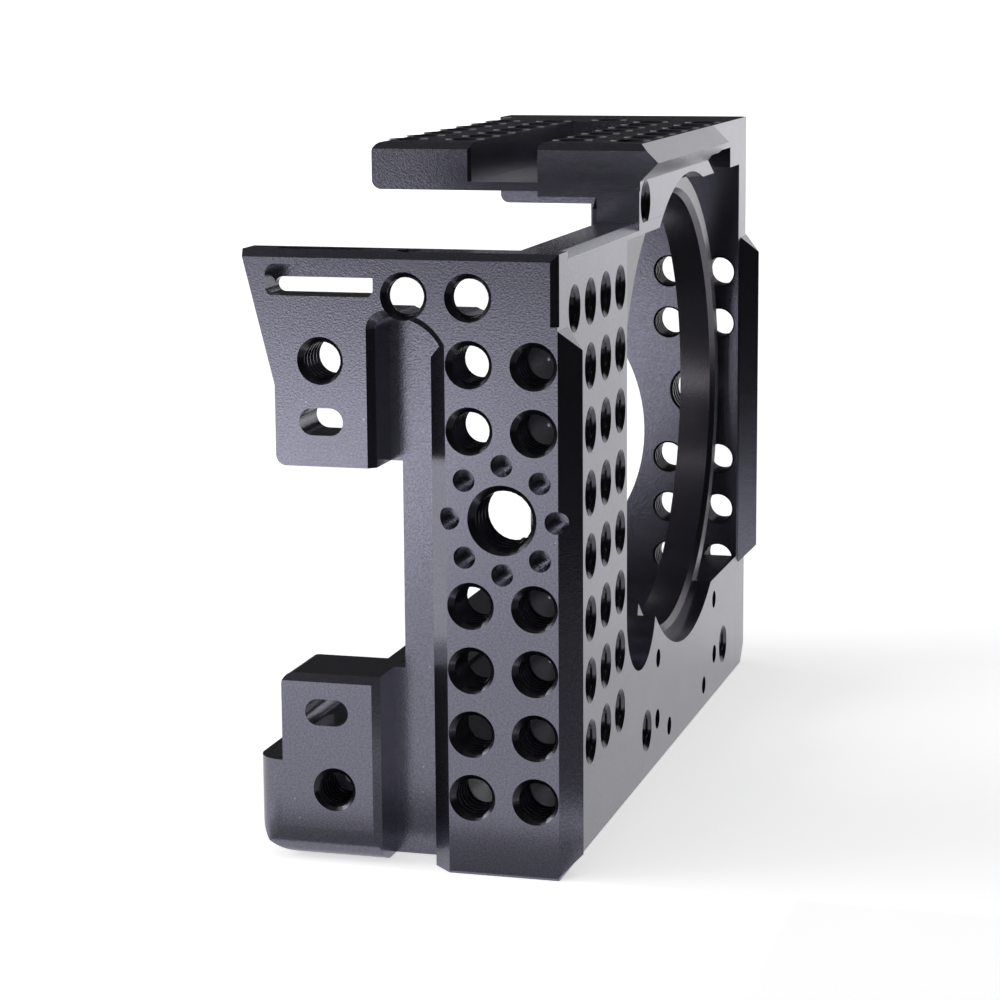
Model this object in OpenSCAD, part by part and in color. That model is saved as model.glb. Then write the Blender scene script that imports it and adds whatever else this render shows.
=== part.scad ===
// Camera cage: a milled frame with accessory rails and threaded hole grids, built round a flat mirrorless body.
// X runs along the cage from its near side, Y from front to back, Z up from the near rail's large centre hole.

/* [Hole grid] */
// Distance between neighbouring holes of every grid
pitch = 9; // [8:0.5:10]
// Wall radius of a quarter-inch threaded hole
quarter_r = 2.8; // [2.5:0.05:3.2]
// Radius of the countersunk mouth of a quarter-inch hole
quarter_mouth_r = 3.3; // [3:0.05:3.6]
// Wall radius of the three-eighths hole
three_eighths_r = 4.3; // [4:0.05:4.8]
// Radius of the countersunk mouth of the three-eighths hole
three_eighths_mouth_r = 4.85; // [4.5:0.05:5.4]
// Radius of the ring of locating holes round the three-eighths hole
locating_ring_r = 7.5; // [7:0.1:8]
// Radius of one locating hole
locating_r = 1.55; // [1.4:0.05:1.8]
// Depth of one locating hole
locating_depth = 4; // [3:0.5:6]
// Height of the first grid row above or below the large centre hole
first_row = 12.03; // [11.5:0.01:12.5]
// Depth of the blind holes in the near rail
blind_depth = 7.4; // [6:0.1:8]
// Depth of the blind holes in the top face
top_blind_depth = 4; // [3:0.1:5]

/* [Accessory rail] */
// Width over the two sharp edges of a rail
rail_over = 21.2; // [20.8:0.1:21.4]
// Width of a rail's flat face
rail_face = 15.7; // [15.4:0.05:15.9]

/* [Overall] */
// Gap between the lens ring and the far side
far_gap = 3.1; // [2.5:0.1:6]
// Height of the top face above the lens opening
over_lens = 9.8; // [9:0.1:14]
// Height of the lens opening above the underside
under_lens = 17.7; // [17:0.1:22]
// Step from the top face down to the low top edge at the near end
top_step = 11.7; // [11:0.1:12.5]
// Chamfer on the visible edges
edge_chamfer = 1; // [0.5:0.1:1.3]
// Thickness of the front plate
front_t = 6.5; // [6:0.1:7]

/* [Near side] */
// Thickness of the ear
near_t = 7.3; // [6.5:0.1:8]
// Thickness of the near side's top edge
upper_t = 5.6; // [5:0.1:5.9]
// Wall left in the pocket behind the two top holes
thin_t = 2.6; // [2:0.1:3]
// Depth of that pocket's floor below the low top edge
pocket_floor = 8.3; // [8:0.1:8.5]
// Thickness of the edge above that pocket
pocket_roof = 2.5; // [2:0.1:3]
// Depth of the thread in the near rail's through holes
thread_depth = 7.3; // [6:0.1:8]
// How much wider the relief behind a thread is
relief = 0.9; // [0.5:0.1:1.2]
// Thickness of the near rail
near_rail_t = 10; // [9.5:0.1:12]
// Depth of the open channel behind the near rail
channel_depth = 7.3; // [6:0.1:8]
// Back wall of the channel
channel_back_y = 17.9; // [17.5:0.1:18.2]
// Distance of the channel's top below the low top edge
channel_drop = 8.9; // [8.5:0.1:10]
// Large corner radius at the channel's top
channel_big_r = 7.5; // [6:0.5:8]
// Small corner radius at the channel's top
channel_small_r = 1.7; // [1:0.1:2.4]
// Distance from the low top edge down to the thick rail's upper end
near_step = 11.6; // [11.5:0.1:11.7]
// Rear edge of the ear at its top
ear_top_y = 36.7; // [35.5:0.1:37]
// Rear edge of the ear further down
ear_rear_y = 32.1; // [31:0.1:33]
// Distance from the low top edge down to where the ear's rear edge turns upright
ear_turn = 18.5; // [17:0.1:20]
// Height of the ear
ear_h = 29.6; // [28:0.1:31]
// Corner radius of the ear
ear_r = 1.5; // [1:0.1:2]
// Height of the lower block
block_h = 27; // [26:0.1:29]
// Thickness of the lower block
block_t = 12; // [11:0.1:14]
// Rear edge of the web beside the port opening
web_edge_y = 16.2; // [15:0.1:17]
// Rear edge of the thick zone above the channel
thick_y = 19.9; // [19:0.1:21]

/* [Slots and ear holes] */
// Distance of the ear's holes and slots from the rail's middle
ear_mid_y = 25.5; // [25:0.1:26]
// Length of the strap slot
strap_l = 15.4; // [14:0.1:15.8]
// Height of the strap slot
strap_h = 4.3; // [4:0.1:5]
// Distance of the strap slot's middle below the low top edge
strap_drop = 4.05; // [3.6:0.05:4.4]
// Corner radius of the strap slot
strap_r = 1.3; // [1:0.1:2]
// Near wall of the narrow slot in the top edge
strap_top_x0 = 2.2; // [2:0.1:2.6]
// Far wall of the narrow slot in the top edge
strap_top_x1 = 4.3; // [4:0.1:4.6]
// Distance of the small hole in the top edge behind the rail's middle
edge_hole_y = 13.4; // [13:0.1:14]
// Radius of that hole
edge_hole_r = 1.7; // [1.4:0.1:1.8]
// Distance of the ear's threaded hole below the low top edge
ear_hole_drop = 15; // [14:0.1:16]
// Length of the two small slots
small_slot_l = 6.3; // [5:0.1:8]
// Height of the two small slots
small_slot_h = 3.8; // [3:0.1:4.5]
// Distance of the upper small slot below the low top edge
upper_slot_drop = 23.4; // [22.5:0.1:24.5]
// Distance of the lower small slot below the lower block's top
lower_slot_drop = 5.3; // [4.5:0.1:7]
// Distance of the stepped hole from the rail's middle
stepped_y = 24.5; // [24:0.1:25]
// Height of the stepped hole above the underside
stepped_rise = 10.7; // [10:0.1:11.5]
// Radius of the stepped hole's wide part
stepped_wide_r = 2.6; // [2.4:0.05:3.2]
// Radius of the stepped hole's narrow part
stepped_narrow_r = 2.1; // [1.8:0.05:2.4]
// Depth of the stepped hole's wide part
stepped_step = 7; // [4:0.5:7.5]
// Depth of the stepped hole
stepped_depth = 10; // [8:0.5:11]

/* [Front grid] */
// Distance of the grid's top row below the low top edge
grid_drop = 8.1; // [7.6:0.05:8.2]
// Distance of the grid's first column from the near face
grid_x = 9.3; // [9.2:0.05:9.5]
// Number of full columns in the grid
grid_columns = 3; // [3:1:4]
// Distance of the grid area's edge from its last column
grid_margin = 4.3; // [4:0.1:4.7]

/* [Lens opening] */
// Distance from the grid area's edge to the lens opening
lens_gap = 8.7; // [8.5:0.1:12]
// Height of the lens axis
lens_z = 2.8; // [2:0.1:3.4]
// Radius of the lens opening
lens_r = 35.1; // [33:0.1:35.5]
// Width of the lens ring inside the front plate's opening
ring_wall = 2.9; // [2.5:0.1:3]
// How much higher that opening's middle is than the lens axis
lens_front_rise = 0.5; // [0:0.1:1]
// Width of the free half of the lens ring
free_ring_wall = 3.4; // [3.2:0.1:4]
// Chamfer on the lens opening's rim
rim_chamfer = 0.8; // [0.5:0.1:1.2]
// Distance of the lens plate's face behind the front face
lens_recess = 2.85; // [2:0.05:4]
// Distance of the lens plate's back behind the front face
lens_back = 8.85; // [8:0.05:10]
// Reach of the lens plate's hidden flange beyond the lens opening
flange_w = 10.1; // [9:0.1:11]
// Width of the flange's lap behind the hole grid
flange_lap = 0.7; // [0.4:0.1:0.8]
// Radius of the round release lobe
lobe_r = 10.2; // [9:0.1:10.2]
// Height of the release lobe's lowest point above the lens opening's
lobe_rise = 0.1; // [0:0.1:1]
// Distance of the recess beside the grid below the low top edge
recess_drop = 1.7; // [1.4:0.1:3]
// Height of the window's bottom above the lens opening's lowest point
window_rise = 2.8; // [2:0.1:4]

/* [Top] */
// Distance from the raised top's near end to the lens opening
raised_gap = 0.3; // [0:0.1:0.6]
// Reach of the lip below the top rail beyond the raised top
lip_reach = 0.5; // [0.3:0.1:1.5]
// Thickness of the top rail
top_rail_t = 7.9; // [7.5:0.1:8.2]
// Thickness of the rear top bar
top_bar_t = 7.1; // [6.7:0.1:7.5]
// Front edge of the rear top bar
top_bar_y0 = 18.25; // [18:0.05:18.6]
// Rear edge of the rear top bar
top_bar_y1 = 33.85; // [33:0.05:34.2]
// Edge radius of the rear top bar
top_bar_r = 1.5; // [1:0.1:2]
// Depth of the slot between the two top bars
slot_depth = 5.8; // [5.5:0.1:6]
// Front edge of the tongue below the top rail
tongue_y = 3; // [2.8:0.1:3.2]
// Distance of that tongue's near end from the raised top's
tongue_gap = 7; // [5:1:9]
// Length of the solid top at the far end of the slot
slot_end = 14; // [12:1:16]
// Length of the top rail without a ridge at its far end
ridge_end = 23; // [8:1:26]
// Distance of the notch under the top rail's front from the far side
notch_in = 8; // [7:0.5:10]
// Length of that notch
notch_l = 21; // [16:0.5:22]
// Length of the notch's slanted near end
notch_slant = 9; // [6:0.5:10]
// Height of that notch
notch_h = 3.4; // [2.8:0.1:4]
// Distance of the top grid's first column from the raised top's near end
top_margin = 9; // [8:0.5:10]
// Distance of the hole in the lip from the lip's near end
lip_hole_in = 4.1; // [3.8:0.1:4.5]
// Height of that hole above the low top edge
lip_hole_up = 2.9; // [2.9:0.1:3.4]

/* [Far side] */
// Thickness of the far side
far_t = 7.4; // [7:0.1:9]
// Rear edge of the far side
far_rear_y = 18.6; // [18:0.1:20]
// Rear edge of the far side's top arm
far_arm_y = 35.1; // [34:0.1:36]
// Height of the top arm
far_arm_h = 15.1; // [14:0.1:17]
// Radius of the round scoop in the rear edge
scoop_r = 28; // [26:0.5:29]
// Height of the scoop's middle
scoop_z = -7.5; // [-9:0.5:-6]
// Deepest point of the scoop
scoop_y = 8.9; // [8.7:0.1:10]
// Depth of the groove behind the far rail
far_groove = 5.5; // [5.4:0.1:6]
// Rear wall of that groove
far_groove_y = 14; // [13:0.5:16]
// Chamfer on the bottom corner
far_corner = 3; // [2:0.5:4]
// Distance of the near rail's front ridge from the underside
near_ridge_in = 0.5; // [0:0.1:5]
// How far the near rail's front ridge rises above the thick rail
near_ridge_up = 1.5; // [1:0.1:2.5]
// Distance of the far rail's front ridge from the underside
far_ridge_in = 19; // [17:0.5:22]
// Distance of the far rail's front ridge from the low top edge
far_ridge_drop = 9; // [7:0.5:12]

/* [Base] */
// Thickness of the base
base_t = 14.5; // [14:0.1:15]
// Rear edge of the base
base_rear_y = 36.3; // [35:0.1:37]
// Radius of the base's lower rear edge
base_low_r = 7; // [5:0.5:8]
// Radius of the base's upright rear corners
base_edge_r = 4; // [3:0.5:6]
// Radius of the base's lower near edge
base_under_r = 5; // [3:0.5:6]
// Length of the near side's tongue below the base
under_l = 10; // [8:0.5:11]
// Thickness of that tongue
under_t = 3; // [2.5:0.1:4]
// Front edge of that tongue
under_y0 = 12; // [11:0.5:13]
// Rear edge of that tongue
under_y1 = 28; // [26:0.5:29]
// Distance between the two front threads either side of the lens axis
rod_spacing = 60; // [50:1:60]
// Height of the two front threads above the underside
rod_rise = 7.1; // [6.5:0.1:8]
// Depth of the two front threads
rod_depth = 12; // [10:0.5:15]
// Height of the base's front screws above the underside
base_screw_rise = 3.7; // [3.2:0.1:4]
// Half the distance between the base's front screws
base_screw_half = 13.7; // [12:0.1:15]
// Distance of the lens plate's screws below the window
lens_screw_drop = 3.7; // [3.5:0.1:5.5]
// Half the distance between the lens plate's screws
lens_screw_half = 22; // [21.5:0.1:22.5]
// Distance of the large thread in the base behind the rail's middle
base_thread_y = 16; // [14:0.5:20]
// Distance of the large thread in the base from the lens axis
base_thread_off = 23.6; // [21.6:0.1:24]
// Depth of the threads in the base's underside
base_thread_depth = 9; // [6:0.5:10]
// Distance of the base's first small thread from the lens axis
base_small_off = 44.4; // [40:0.1:46]

/* [Camera screw] */
// Distance of the camera screw behind the rail's middle
screw_y = 16; // [15:0.5:20]
// Radius of the camera screw's head
head_r = 9.5; // [8:0.5:9.5]
// Thickness of the camera screw's head
head_t = 2.4; // [2:0.1:2.6]
// Radius of the camera screw's shank
shank_r = 3.1; // [3:0.05:3.15]
// Width of the coin slot in the head
coin_slot_w = 1.8; // [1.4:0.1:2.4]
// Depth of the coin slot
coin_slot_t = 1.2; // [0.8:0.1:1.4]
// Up and down travel of the captive screw
screw_travel = 4; // [3:0.5:4]
// Height of the screw's tip above the camera floor at rest
tip_rise = 0.5; // [0.2:0.1:1]
// Thickness of the web that carries the camera screw
web_t = 2.3; // [2:0.1:2.4]
// Radius of the washer on the head
washer_r = 7; // [5:0.5:9]
// Thickness of the washer
washer_t = 0.5; // [0.3:0.1:0.5]
// Radius of the retaining clip
clip_r = 5; // [4.5:0.1:5.2]
// Thickness of the retaining clip
clip_t = 0.8; // [0.6:0.1:0.8]
// Radius of the camera screw inside the clip
groove_r = 2.4; // [2:0.05:2.6]
// Width of the opening in the clip
clip_gap = 3.4; // [2.5:0.1:4]
// Clearance round the head and the clip in their pockets
pocket_gap = 0.6; // [0.4:0.1:1]
// Running clearance of turning and sliding pieces
run_gap = 0.06; // [0.04:0.01:0.08]

/* [Assembly screws] */
// Radius of a plate screw's shank
plate_screw_r = 1.25; // [1:0.05:1.25]
// Radius of a plate screw's flat head
plate_head_r = 2.25; // [2:0.05:2.3]
// Length of a plate screw
plate_screw_l = 6.5; // [5:0.5:6.5]
// Radius of a side screw's shank
side_screw_r = 1.5; // [1.25:0.05:1.75]
// Radius of a side screw's flat head
side_head_r = 2.9; // [2.5:0.05:3]
// Length of a side screw
side_screw_l = 14; // [12:0.5:15]
// Length of the long top screw
top_screw_l = 16; // [15:0.5:17]
// Radius of a small front screw's shank
small_screw_r = 1; // [0.8:0.05:1.1]
// Radius of a small front screw's head
small_head_r = 1.45; // [1.3:0.05:1.6]
// Depth of the small front screws' heads below the front
small_sink = 1; // [0.6:0.1:1.2]
// Length of a base front screw
base_screw_l = 10; // [9:0.5:12]
// Length of a lens plate screw
lens_screw_l = 7.2; // [6.8:0.1:7.5]
// Radius of a dowel
dowel_r = 1.5; // [1:0.25:2]
// Length of a dowel
dowel_l = 6; // [5:0.5:6]
// Height of the dowels above the underside
dowel_rise = 5; // [4:0.5:7]
// Gap between seated pieces
seat_gap = 0.02; // [0.01:0.01:0.04]

/* [Pads] */
// Thickness of a rubber pad
pad_t = 1; // [0.8:0.1:1.5]
// Depth of a pad's recess
pad_recess = 0.5; // [0.3:0.1:0.7]
// Distance of a rubber pad's end from the far side
pad_end = 2.1; // [2:0.1:6]
// Width of a rubber pad
pad_w = 7; // [5:0.5:8]
// Distance of the pads behind the rail's middle
pad_y = 26; // [25.5:0.5:27]

/* [Hidden] */
cut = 1;
half = 1 / 2;
double = 2;
full_turn = 360;
quarter_turn = 90;
eighth_turn = 45;
cone_share = 0.6;
face_y = rail_face * half;
apex_y = rail_over * half;
ridge = apex_y - face_y;
ridge_root = double * ridge;
front_y = -face_y;
front_back_y = front_y + front_t;
front_inner_y = front_back_y + seat_gap;
column = pitch * half;
grid_edge_x = grid_x + grid_columns * pitch + grid_margin;
lens_x = grid_edge_x + lens_gap + lens_r;
lens_front_r = lens_r + ring_wall;
ring_r = lens_r + free_ring_wall;
flange_r = lens_r + flange_w;
top_z = lens_z + lens_r + over_lens;
bottom_z = lens_z - lens_r - under_lens;
low_top_z = top_z - top_step;
far_x = lens_x + ring_r + far_gap;
cage_l = far_x + far_t;
floor_z = bottom_z + base_t;
upper_step_z = low_top_z - pocket_floor;
pocket_top_z = low_top_z - pocket_roof;
channel_top_z = low_top_z - channel_drop;
near_step_z = low_top_z - near_step;
near_ridge_z0 = bottom_z + near_ridge_in;
near_ridge_z1 = near_step_z + near_ridge_up;
ear_turn_z = low_top_z - ear_turn;
ear_bottom_z = low_top_z - ear_h;
block_top_z = bottom_z + block_h;
strap_z = low_top_z - strap_drop;
ear_hole_z = low_top_z - ear_hole_drop;
upper_slot_z = low_top_z - upper_slot_drop;
lower_slot_z = block_top_z - lower_slot_drop;
stepped_z = bottom_z + stepped_rise;
grid_top_z = low_top_z - grid_drop;
grid_rows = floor((grid_top_z - floor_z) / pitch) + 1;
lobe_z = lens_z - lens_r + lobe_r + lobe_rise;
recess_top_z = low_top_z - recess_drop;
window_bottom_z = lens_z - lens_r + window_rise;
lens_screw_z = window_bottom_z - lens_screw_drop;
raised_x = lens_x - lens_r - raised_gap;
lip_x = raised_x - lip_reach;
top_rail_bottom_z = top_z - top_rail_t;
top_bar_bottom_z = top_z - top_bar_t;
top_floor_z = top_z - slot_depth;
tongue_x = raised_x + tongue_gap;
slot_end_x = far_x - slot_end;
top_ridge_end_x = far_x - ridge_end;
notch_end_x = far_x - notch_in;
notch_x = notch_end_x - notch_l;
notch_z = top_rail_bottom_z + notch_h;
top_grid_x = raised_x + top_margin;
top_columns = floor((far_x - top_grid_x) / pitch);
lip_hole_x = lip_x + lip_hole_in;
lip_hole_z = low_top_z + lip_hole_up;
far_arm_z = top_z - far_arm_h;
far_ridge_z0 = bottom_z + far_ridge_in;
far_ridge_z1 = low_top_z - far_ridge_drop;
rod_z = bottom_z + rod_rise;
base_screw_z = bottom_z + base_screw_rise;
base_thread_x = lens_x + base_thread_off;
base_small_x = lens_x - base_small_off;
dowel_z = bottom_z + dowel_rise;
pad_l = far_x - lens_x - pitch - column - pad_end;
lens_face_y = front_y + lens_recess;
lens_back_y = front_y + lens_back;
far_inner_x = far_x - seat_gap;
rows_up = floor((low_top_z - first_row - quarter_mouth_r) / pitch);
rows_down = floor((-bottom_z - first_row - quarter_mouth_r) / pitch);
upper_rows = [for (i = [0 : rows_up - 1]) first_row + i * pitch];
through = concat(upper_rows, [for (i = [0 : rows_down - 1]) -first_row - i * pitch]);
low_row = -first_row - rows_down * pitch;
blind = concat(through, [low_row]);
top_row = first_row + rows_up * pitch;
top_pair = [-column, column];
top_bar_mid = (top_bar_y0 + top_bar_y1) * half;
lens_top_z = top_rail_bottom_z - seat_gap;
rail_screw_x = top_grid_x + column;
rail_screw_y = (lens_face_y + lens_back_y) * half;
flange_top_x = lip_x + pitch - double;
lobe_x = grid_edge_x + lobe_r;
tongue_screw_y = (tongue_y + face_y) * half;
tongue_screw_x = [for (i = [0 : double : top_columns - 1]) top_grid_x + column + i * pitch];
near_lip_x = near_rail_t + column + edge_chamfer * cone_share * half;
near_lip_y = lens_back_y;
channel_arc_y = face_y + channel_big_r;
channel_arc_z = channel_top_z - channel_big_r;
channel_corner_y = channel_back_y - channel_small_r;
channel_corner_z = channel_top_z - channel_small_r;
near_screw_x = (near_rail_t + near_lip_x) * half + seat_gap;
near_screw_z = [-pitch * double, -pitch, pitch, pitch * double];
web_top_z = floor_z - screw_travel - clip_t - double * run_gap;
pocket_z = web_top_z - web_t;
washer_z = pocket_z - screw_travel - run_gap - washer_t;
head_top_z = washer_z - run_gap;
clip_z = web_top_z + run_gap;
side_near_y = [column, pitch + column];
dowel_x = [grid_x + double * pitch + pitch, far_x - pitch + column];
top_dowel_x = [top_grid_x + double * pitch + column, top_grid_x + double * pitch + pitch + column];
ear_outline = [[channel_back_y, ear_bottom_z], [channel_back_y, low_top_z], [ear_top_y, low_top_z],
               [ear_rear_y, ear_turn_z], [ear_rear_y, ear_bottom_z]];

module yz(x0, x1) { translate([x0, 0, 0]) rotate([quarter_turn, 0, quarter_turn]) linear_extrude(x1 - x0) children(); }
module block(a, b) { translate(a) cube(b - a); }
module along_x(p, r, l) { translate(p) rotate([0, quarter_turn, 0]) cylinder(r = r, h = l, $fn = 48); }
module along_y(p, r, l) { translate(p) rotate([-quarter_turn, 0, 0]) cylinder(r = r, h = l, $fn = 72); }
module along_z(p, r, l) { translate(p) cylinder(r = r, h = l, $fn = 48); }

// Chamfer cutters that lie along one axis, their middle on the edge they take off
module bevel_x(p, l, c = edge_chamfer) {
    translate(p) rotate([eighth_turn, 0, 0]) cube([l, c * sqrt(double), c * sqrt(double)], center = true);
}
module bevel_y(p, l, c = edge_chamfer) {
    translate(p) rotate([0, eighth_turn, 0]) cube([c * sqrt(double), l, c * sqrt(double)], center = true);
}
module bevel_z(p, l, c = edge_chamfer) {
    translate(p) rotate([0, 0, eighth_turn]) cube([c * sqrt(double), c * sqrt(double), l], center = true);
}

// Rounding cutters: what lies outside a quarter circle of radius r at the corner p
module round_x(p, r, sy, sz, l) {
    difference() {
        translate([p[0], p[1] - (sy > 0 ? r : cut), p[2] - (sz > 0 ? r : cut)]) cube([l, r + cut, r + cut]);
        along_x([p[0] - cut, p[1] - sy * r, p[2] - sz * r], r, l + double * cut);
    }
}
module round_y(p, r, sx, sz, l) {
    difference() {
        translate([p[0] - (sx > 0 ? r : cut), p[1], p[2] - (sz > 0 ? r : cut)]) cube([r + cut, l, r + cut]);
        along_y([p[0] - sx * r, p[1] - cut, p[2] - sz * r], r, l + double * cut);
    }
}
module round_z(p, r, sx, sy, l) {
    difference() {
        translate([p[0] - (sx > 0 ? r : cut), p[1] - (sy > 0 ? r : cut), p[2]]) cube([r + cut, r + cut, l]);
        along_z([p[0] - sx * r, p[1] - sy * r, p[2] - cut], r, l + double * cut);
    }
}

// A drilled hole with a countersunk mouth at the origin, running along the turned Z axis
module drill(r, mouth_r, depth, point = false) {
    translate([0, 0, -cut]) cylinder(r = r, h = depth + cut, $fn = 32);
    translate([0, 0, -cut]) cylinder(r1 = mouth_r + cut, r2 = r, h = mouth_r - r + cut, $fn = 32);
    if (point) translate([0, 0, depth]) cylinder(r1 = r, r2 = 0, h = r * cone_share, $fn = 32);
}
module quarter_x(x, y, z, depth, point = false) {
    translate([x, y, z]) rotate([0, quarter_turn, 0]) drill(quarter_r, quarter_mouth_r, depth, point);
}
module relieved_x(y, z) {
    quarter_x(0, y, z, near_rail_t + cut);
    along_x([thread_depth, y, z], quarter_r + relief, near_rail_t);
}
module quarter_y(x, z, depth, point = false) {
    translate([x, front_y, z]) rotate([-quarter_turn, 0, 0]) drill(quarter_r, quarter_mouth_r, depth, point);
}
module quarter_down(x, y) {
    translate([x, y, top_z]) rotate([double * quarter_turn, 0, 0])
        drill(quarter_r, quarter_mouth_r, top_blind_depth, true);
}

// The large thread and its ring of locating holes
module locating_set(depth) {
    drill(three_eighths_r, three_eighths_mouth_r, depth);
    for (a = [0 : eighth_turn : full_turn - eighth_turn])
        rotate([0, 0, a]) translate([locating_ring_r, 0, 0]) drill(locating_r, locating_r, locating_depth);
}

// One sharp ridge of a side rail; side is -1 at the front and 1 at the rear, face_x its outer face
module side_ridge(side, z0, z1, face_x, dir) {
    intersection() {
        translate([0, 0, z0]) linear_extrude(z1 - z0)
            polygon([[face_x, side * face_y], [face_x + dir * ridge, side * apex_y],
                     [face_x + dir * ridge_root, side * face_y]]);
        yz(face_x - ridge_root, face_x + ridge_root)
            polygon([[side * face_y, z0], [side * apex_y, z0 + ridge], [side * apex_y, z1 - ridge], [side * face_y, z1]]);
    }
}

// Slots cut along X, with round ends and with small corner radii
module slot_x(x0, x1, y, z, l, h) {
    for (s = [-1, 1]) along_x([x0, y + s * (l - h) * half, z], h * half, x1 - x0);
    block([x0, y - (l - h) * half, z - h * half], [x1, y + (l - h) * half, z + h * half]);
}
module soft_slot_x(x0, x1, y, z, l, h, r) {
    block([x0, y - l * half + r, z - h * half], [x1, y + l * half - r, z + h * half]);
    block([x0, y - l * half, z - h * half + r], [x1, y + l * half, z + h * half - r]);
    for (sy = [-1, 1], sz = [-1, 1])
        along_x([x0, y + sy * (l * half - r), z + sz * (h * half - r)], r, x1 - x0);
}

// Flat-headed screw with a six-sided socket, its head's face at the origin, and the hole it sits in
module flat_screw(r, head_r, l) {
    difference() {
        union() {
            cylinder(r1 = head_r, r2 = r, h = head_r - r, $fn = 32);
            cylinder(r = r, h = l, $fn = 32);
        }
        translate([0, 0, -cut]) cylinder(r = r * cone_share, h = cut + r, $fn = 6);
    }
}
module flat_hole(r, head_r, l, sink = 0) {
    cylinder(r = r + seat_gap, h = l + seat_gap, $fn = 32);
    translate([0, 0, -cut - sink]) cylinder(r = head_r + seat_gap, h = cut + sink + seat_gap, $fn = 32);
    cylinder(r1 = head_r + seat_gap, r2 = r + seat_gap, h = head_r - r + seat_gap, $fn = 32);
}

// Where each kind of screw sits
module at_near_screws() {
    for (z = near_screw_z) translate([near_screw_x, near_lip_y, z]) rotate([quarter_turn, 0, 0]) children();
}
module at_rail_screws() {
    translate([rail_screw_x, rail_screw_y, top_z]) rotate([double * quarter_turn, 0, 0]) children();
}
module at_bar_screws() {
    for (x = tongue_screw_x) translate([x, tongue_screw_y, top_rail_bottom_z]) children();
}
module at_far_screws() {
    for (p = [[0, (top_z + top_rail_bottom_z) * half], [top_bar_mid, (top_z + top_bar_bottom_z) * half],
              [side_near_y[0], rod_z], [side_near_y[1], rod_z]])
        translate([cage_l, p[0], p[1]]) rotate([0, -quarter_turn, 0]) children();
}
module at_base_near_screws() {
    for (y = [under_y0 + column, under_y1 - column])
        translate([block_t + under_l * half, y, bottom_z]) children();
}
module at_base_front_screws() {
    for (s = [-1, 1])
        translate([lens_x + s * base_screw_half, front_y + small_sink, base_screw_z]) rotate([-quarter_turn, 0, 0]) children();
}
module at_lens_screws() {
    for (s = [-1, 1])
        translate([lens_x + s * lens_screw_half, front_y + small_sink, lens_screw_z]) rotate([-quarter_turn, 0, 0]) children();
}
module at_dowels() {
    for (x = dowel_x) translate([x, front_back_y - dowel_l * half, dowel_z]) rotate([-quarter_turn, 0, 0]) children();
    for (x = top_dowel_x) translate([x, rail_screw_y, top_rail_bottom_z - edge_chamfer - half]) children();
}
module dowel_holes() {
    at_dowels() translate([0, 0, -seat_gap]) cylinder(r = dowel_r + seat_gap, h = dowel_l + double * seat_gap, $fn = 32);
}

// Near side with its rail, the open channel behind it, the ear and the lower block
module channel() {
    block([-cut, face_y, bottom_z - cut], [channel_depth, channel_back_y, channel_arc_z]);
    block([-cut, channel_arc_y, bottom_z - cut], [channel_depth, channel_back_y, channel_corner_z]);
    block([-cut, channel_arc_y, bottom_z - cut], [channel_depth, channel_corner_y, channel_top_z]);
    along_x([-cut, channel_corner_y, channel_corner_z], channel_small_r, channel_depth + cut);
    intersection() {
        along_x([-cut, channel_arc_y, channel_arc_z], channel_big_r, channel_depth + cut);
        block([-cut, face_y, channel_arc_z], [channel_depth, channel_arc_y + cut, channel_top_z]);
    }
}
// The chamfered mouth of the channel: two arcs and two straight lengths
module mouth_arc(y, z, r, y0, y1) {
    intersection() {
        translate([-cut, y, z]) rotate([0, quarter_turn, 0])
            cylinder(r1 = r + edge_chamfer + cut, r2 = r, h = edge_chamfer + cut, $fn = 72);
        block([-cut, y0, z], [edge_chamfer, y1, channel_top_z + double * cut + edge_chamfer]);
    }
}
module channel_mouth() {
    lip = edge_chamfer + cut;
    mouth_arc(channel_arc_y, channel_arc_z, channel_big_r, face_y, channel_arc_y);
    mouth_arc(channel_corner_y, channel_corner_z, channel_small_r, channel_corner_y, channel_back_y + double * lip);
    translate([0, channel_corner_y, 0]) rotate([quarter_turn, 0, 0]) linear_extrude(channel_corner_y - channel_arc_y)
        polygon([[-cut, channel_top_z - cut], [edge_chamfer, channel_top_z - cut], [edge_chamfer, channel_top_z],
                 [-cut, channel_top_z + lip]]);
    translate([0, 0, bottom_z - cut]) linear_extrude(channel_corner_z - bottom_z + cut)
        polygon([[-cut, channel_back_y - cut], [edge_chamfer, channel_back_y - cut], [edge_chamfer, channel_back_y],
                 [-cut, channel_back_y + lip]]);
}
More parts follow.
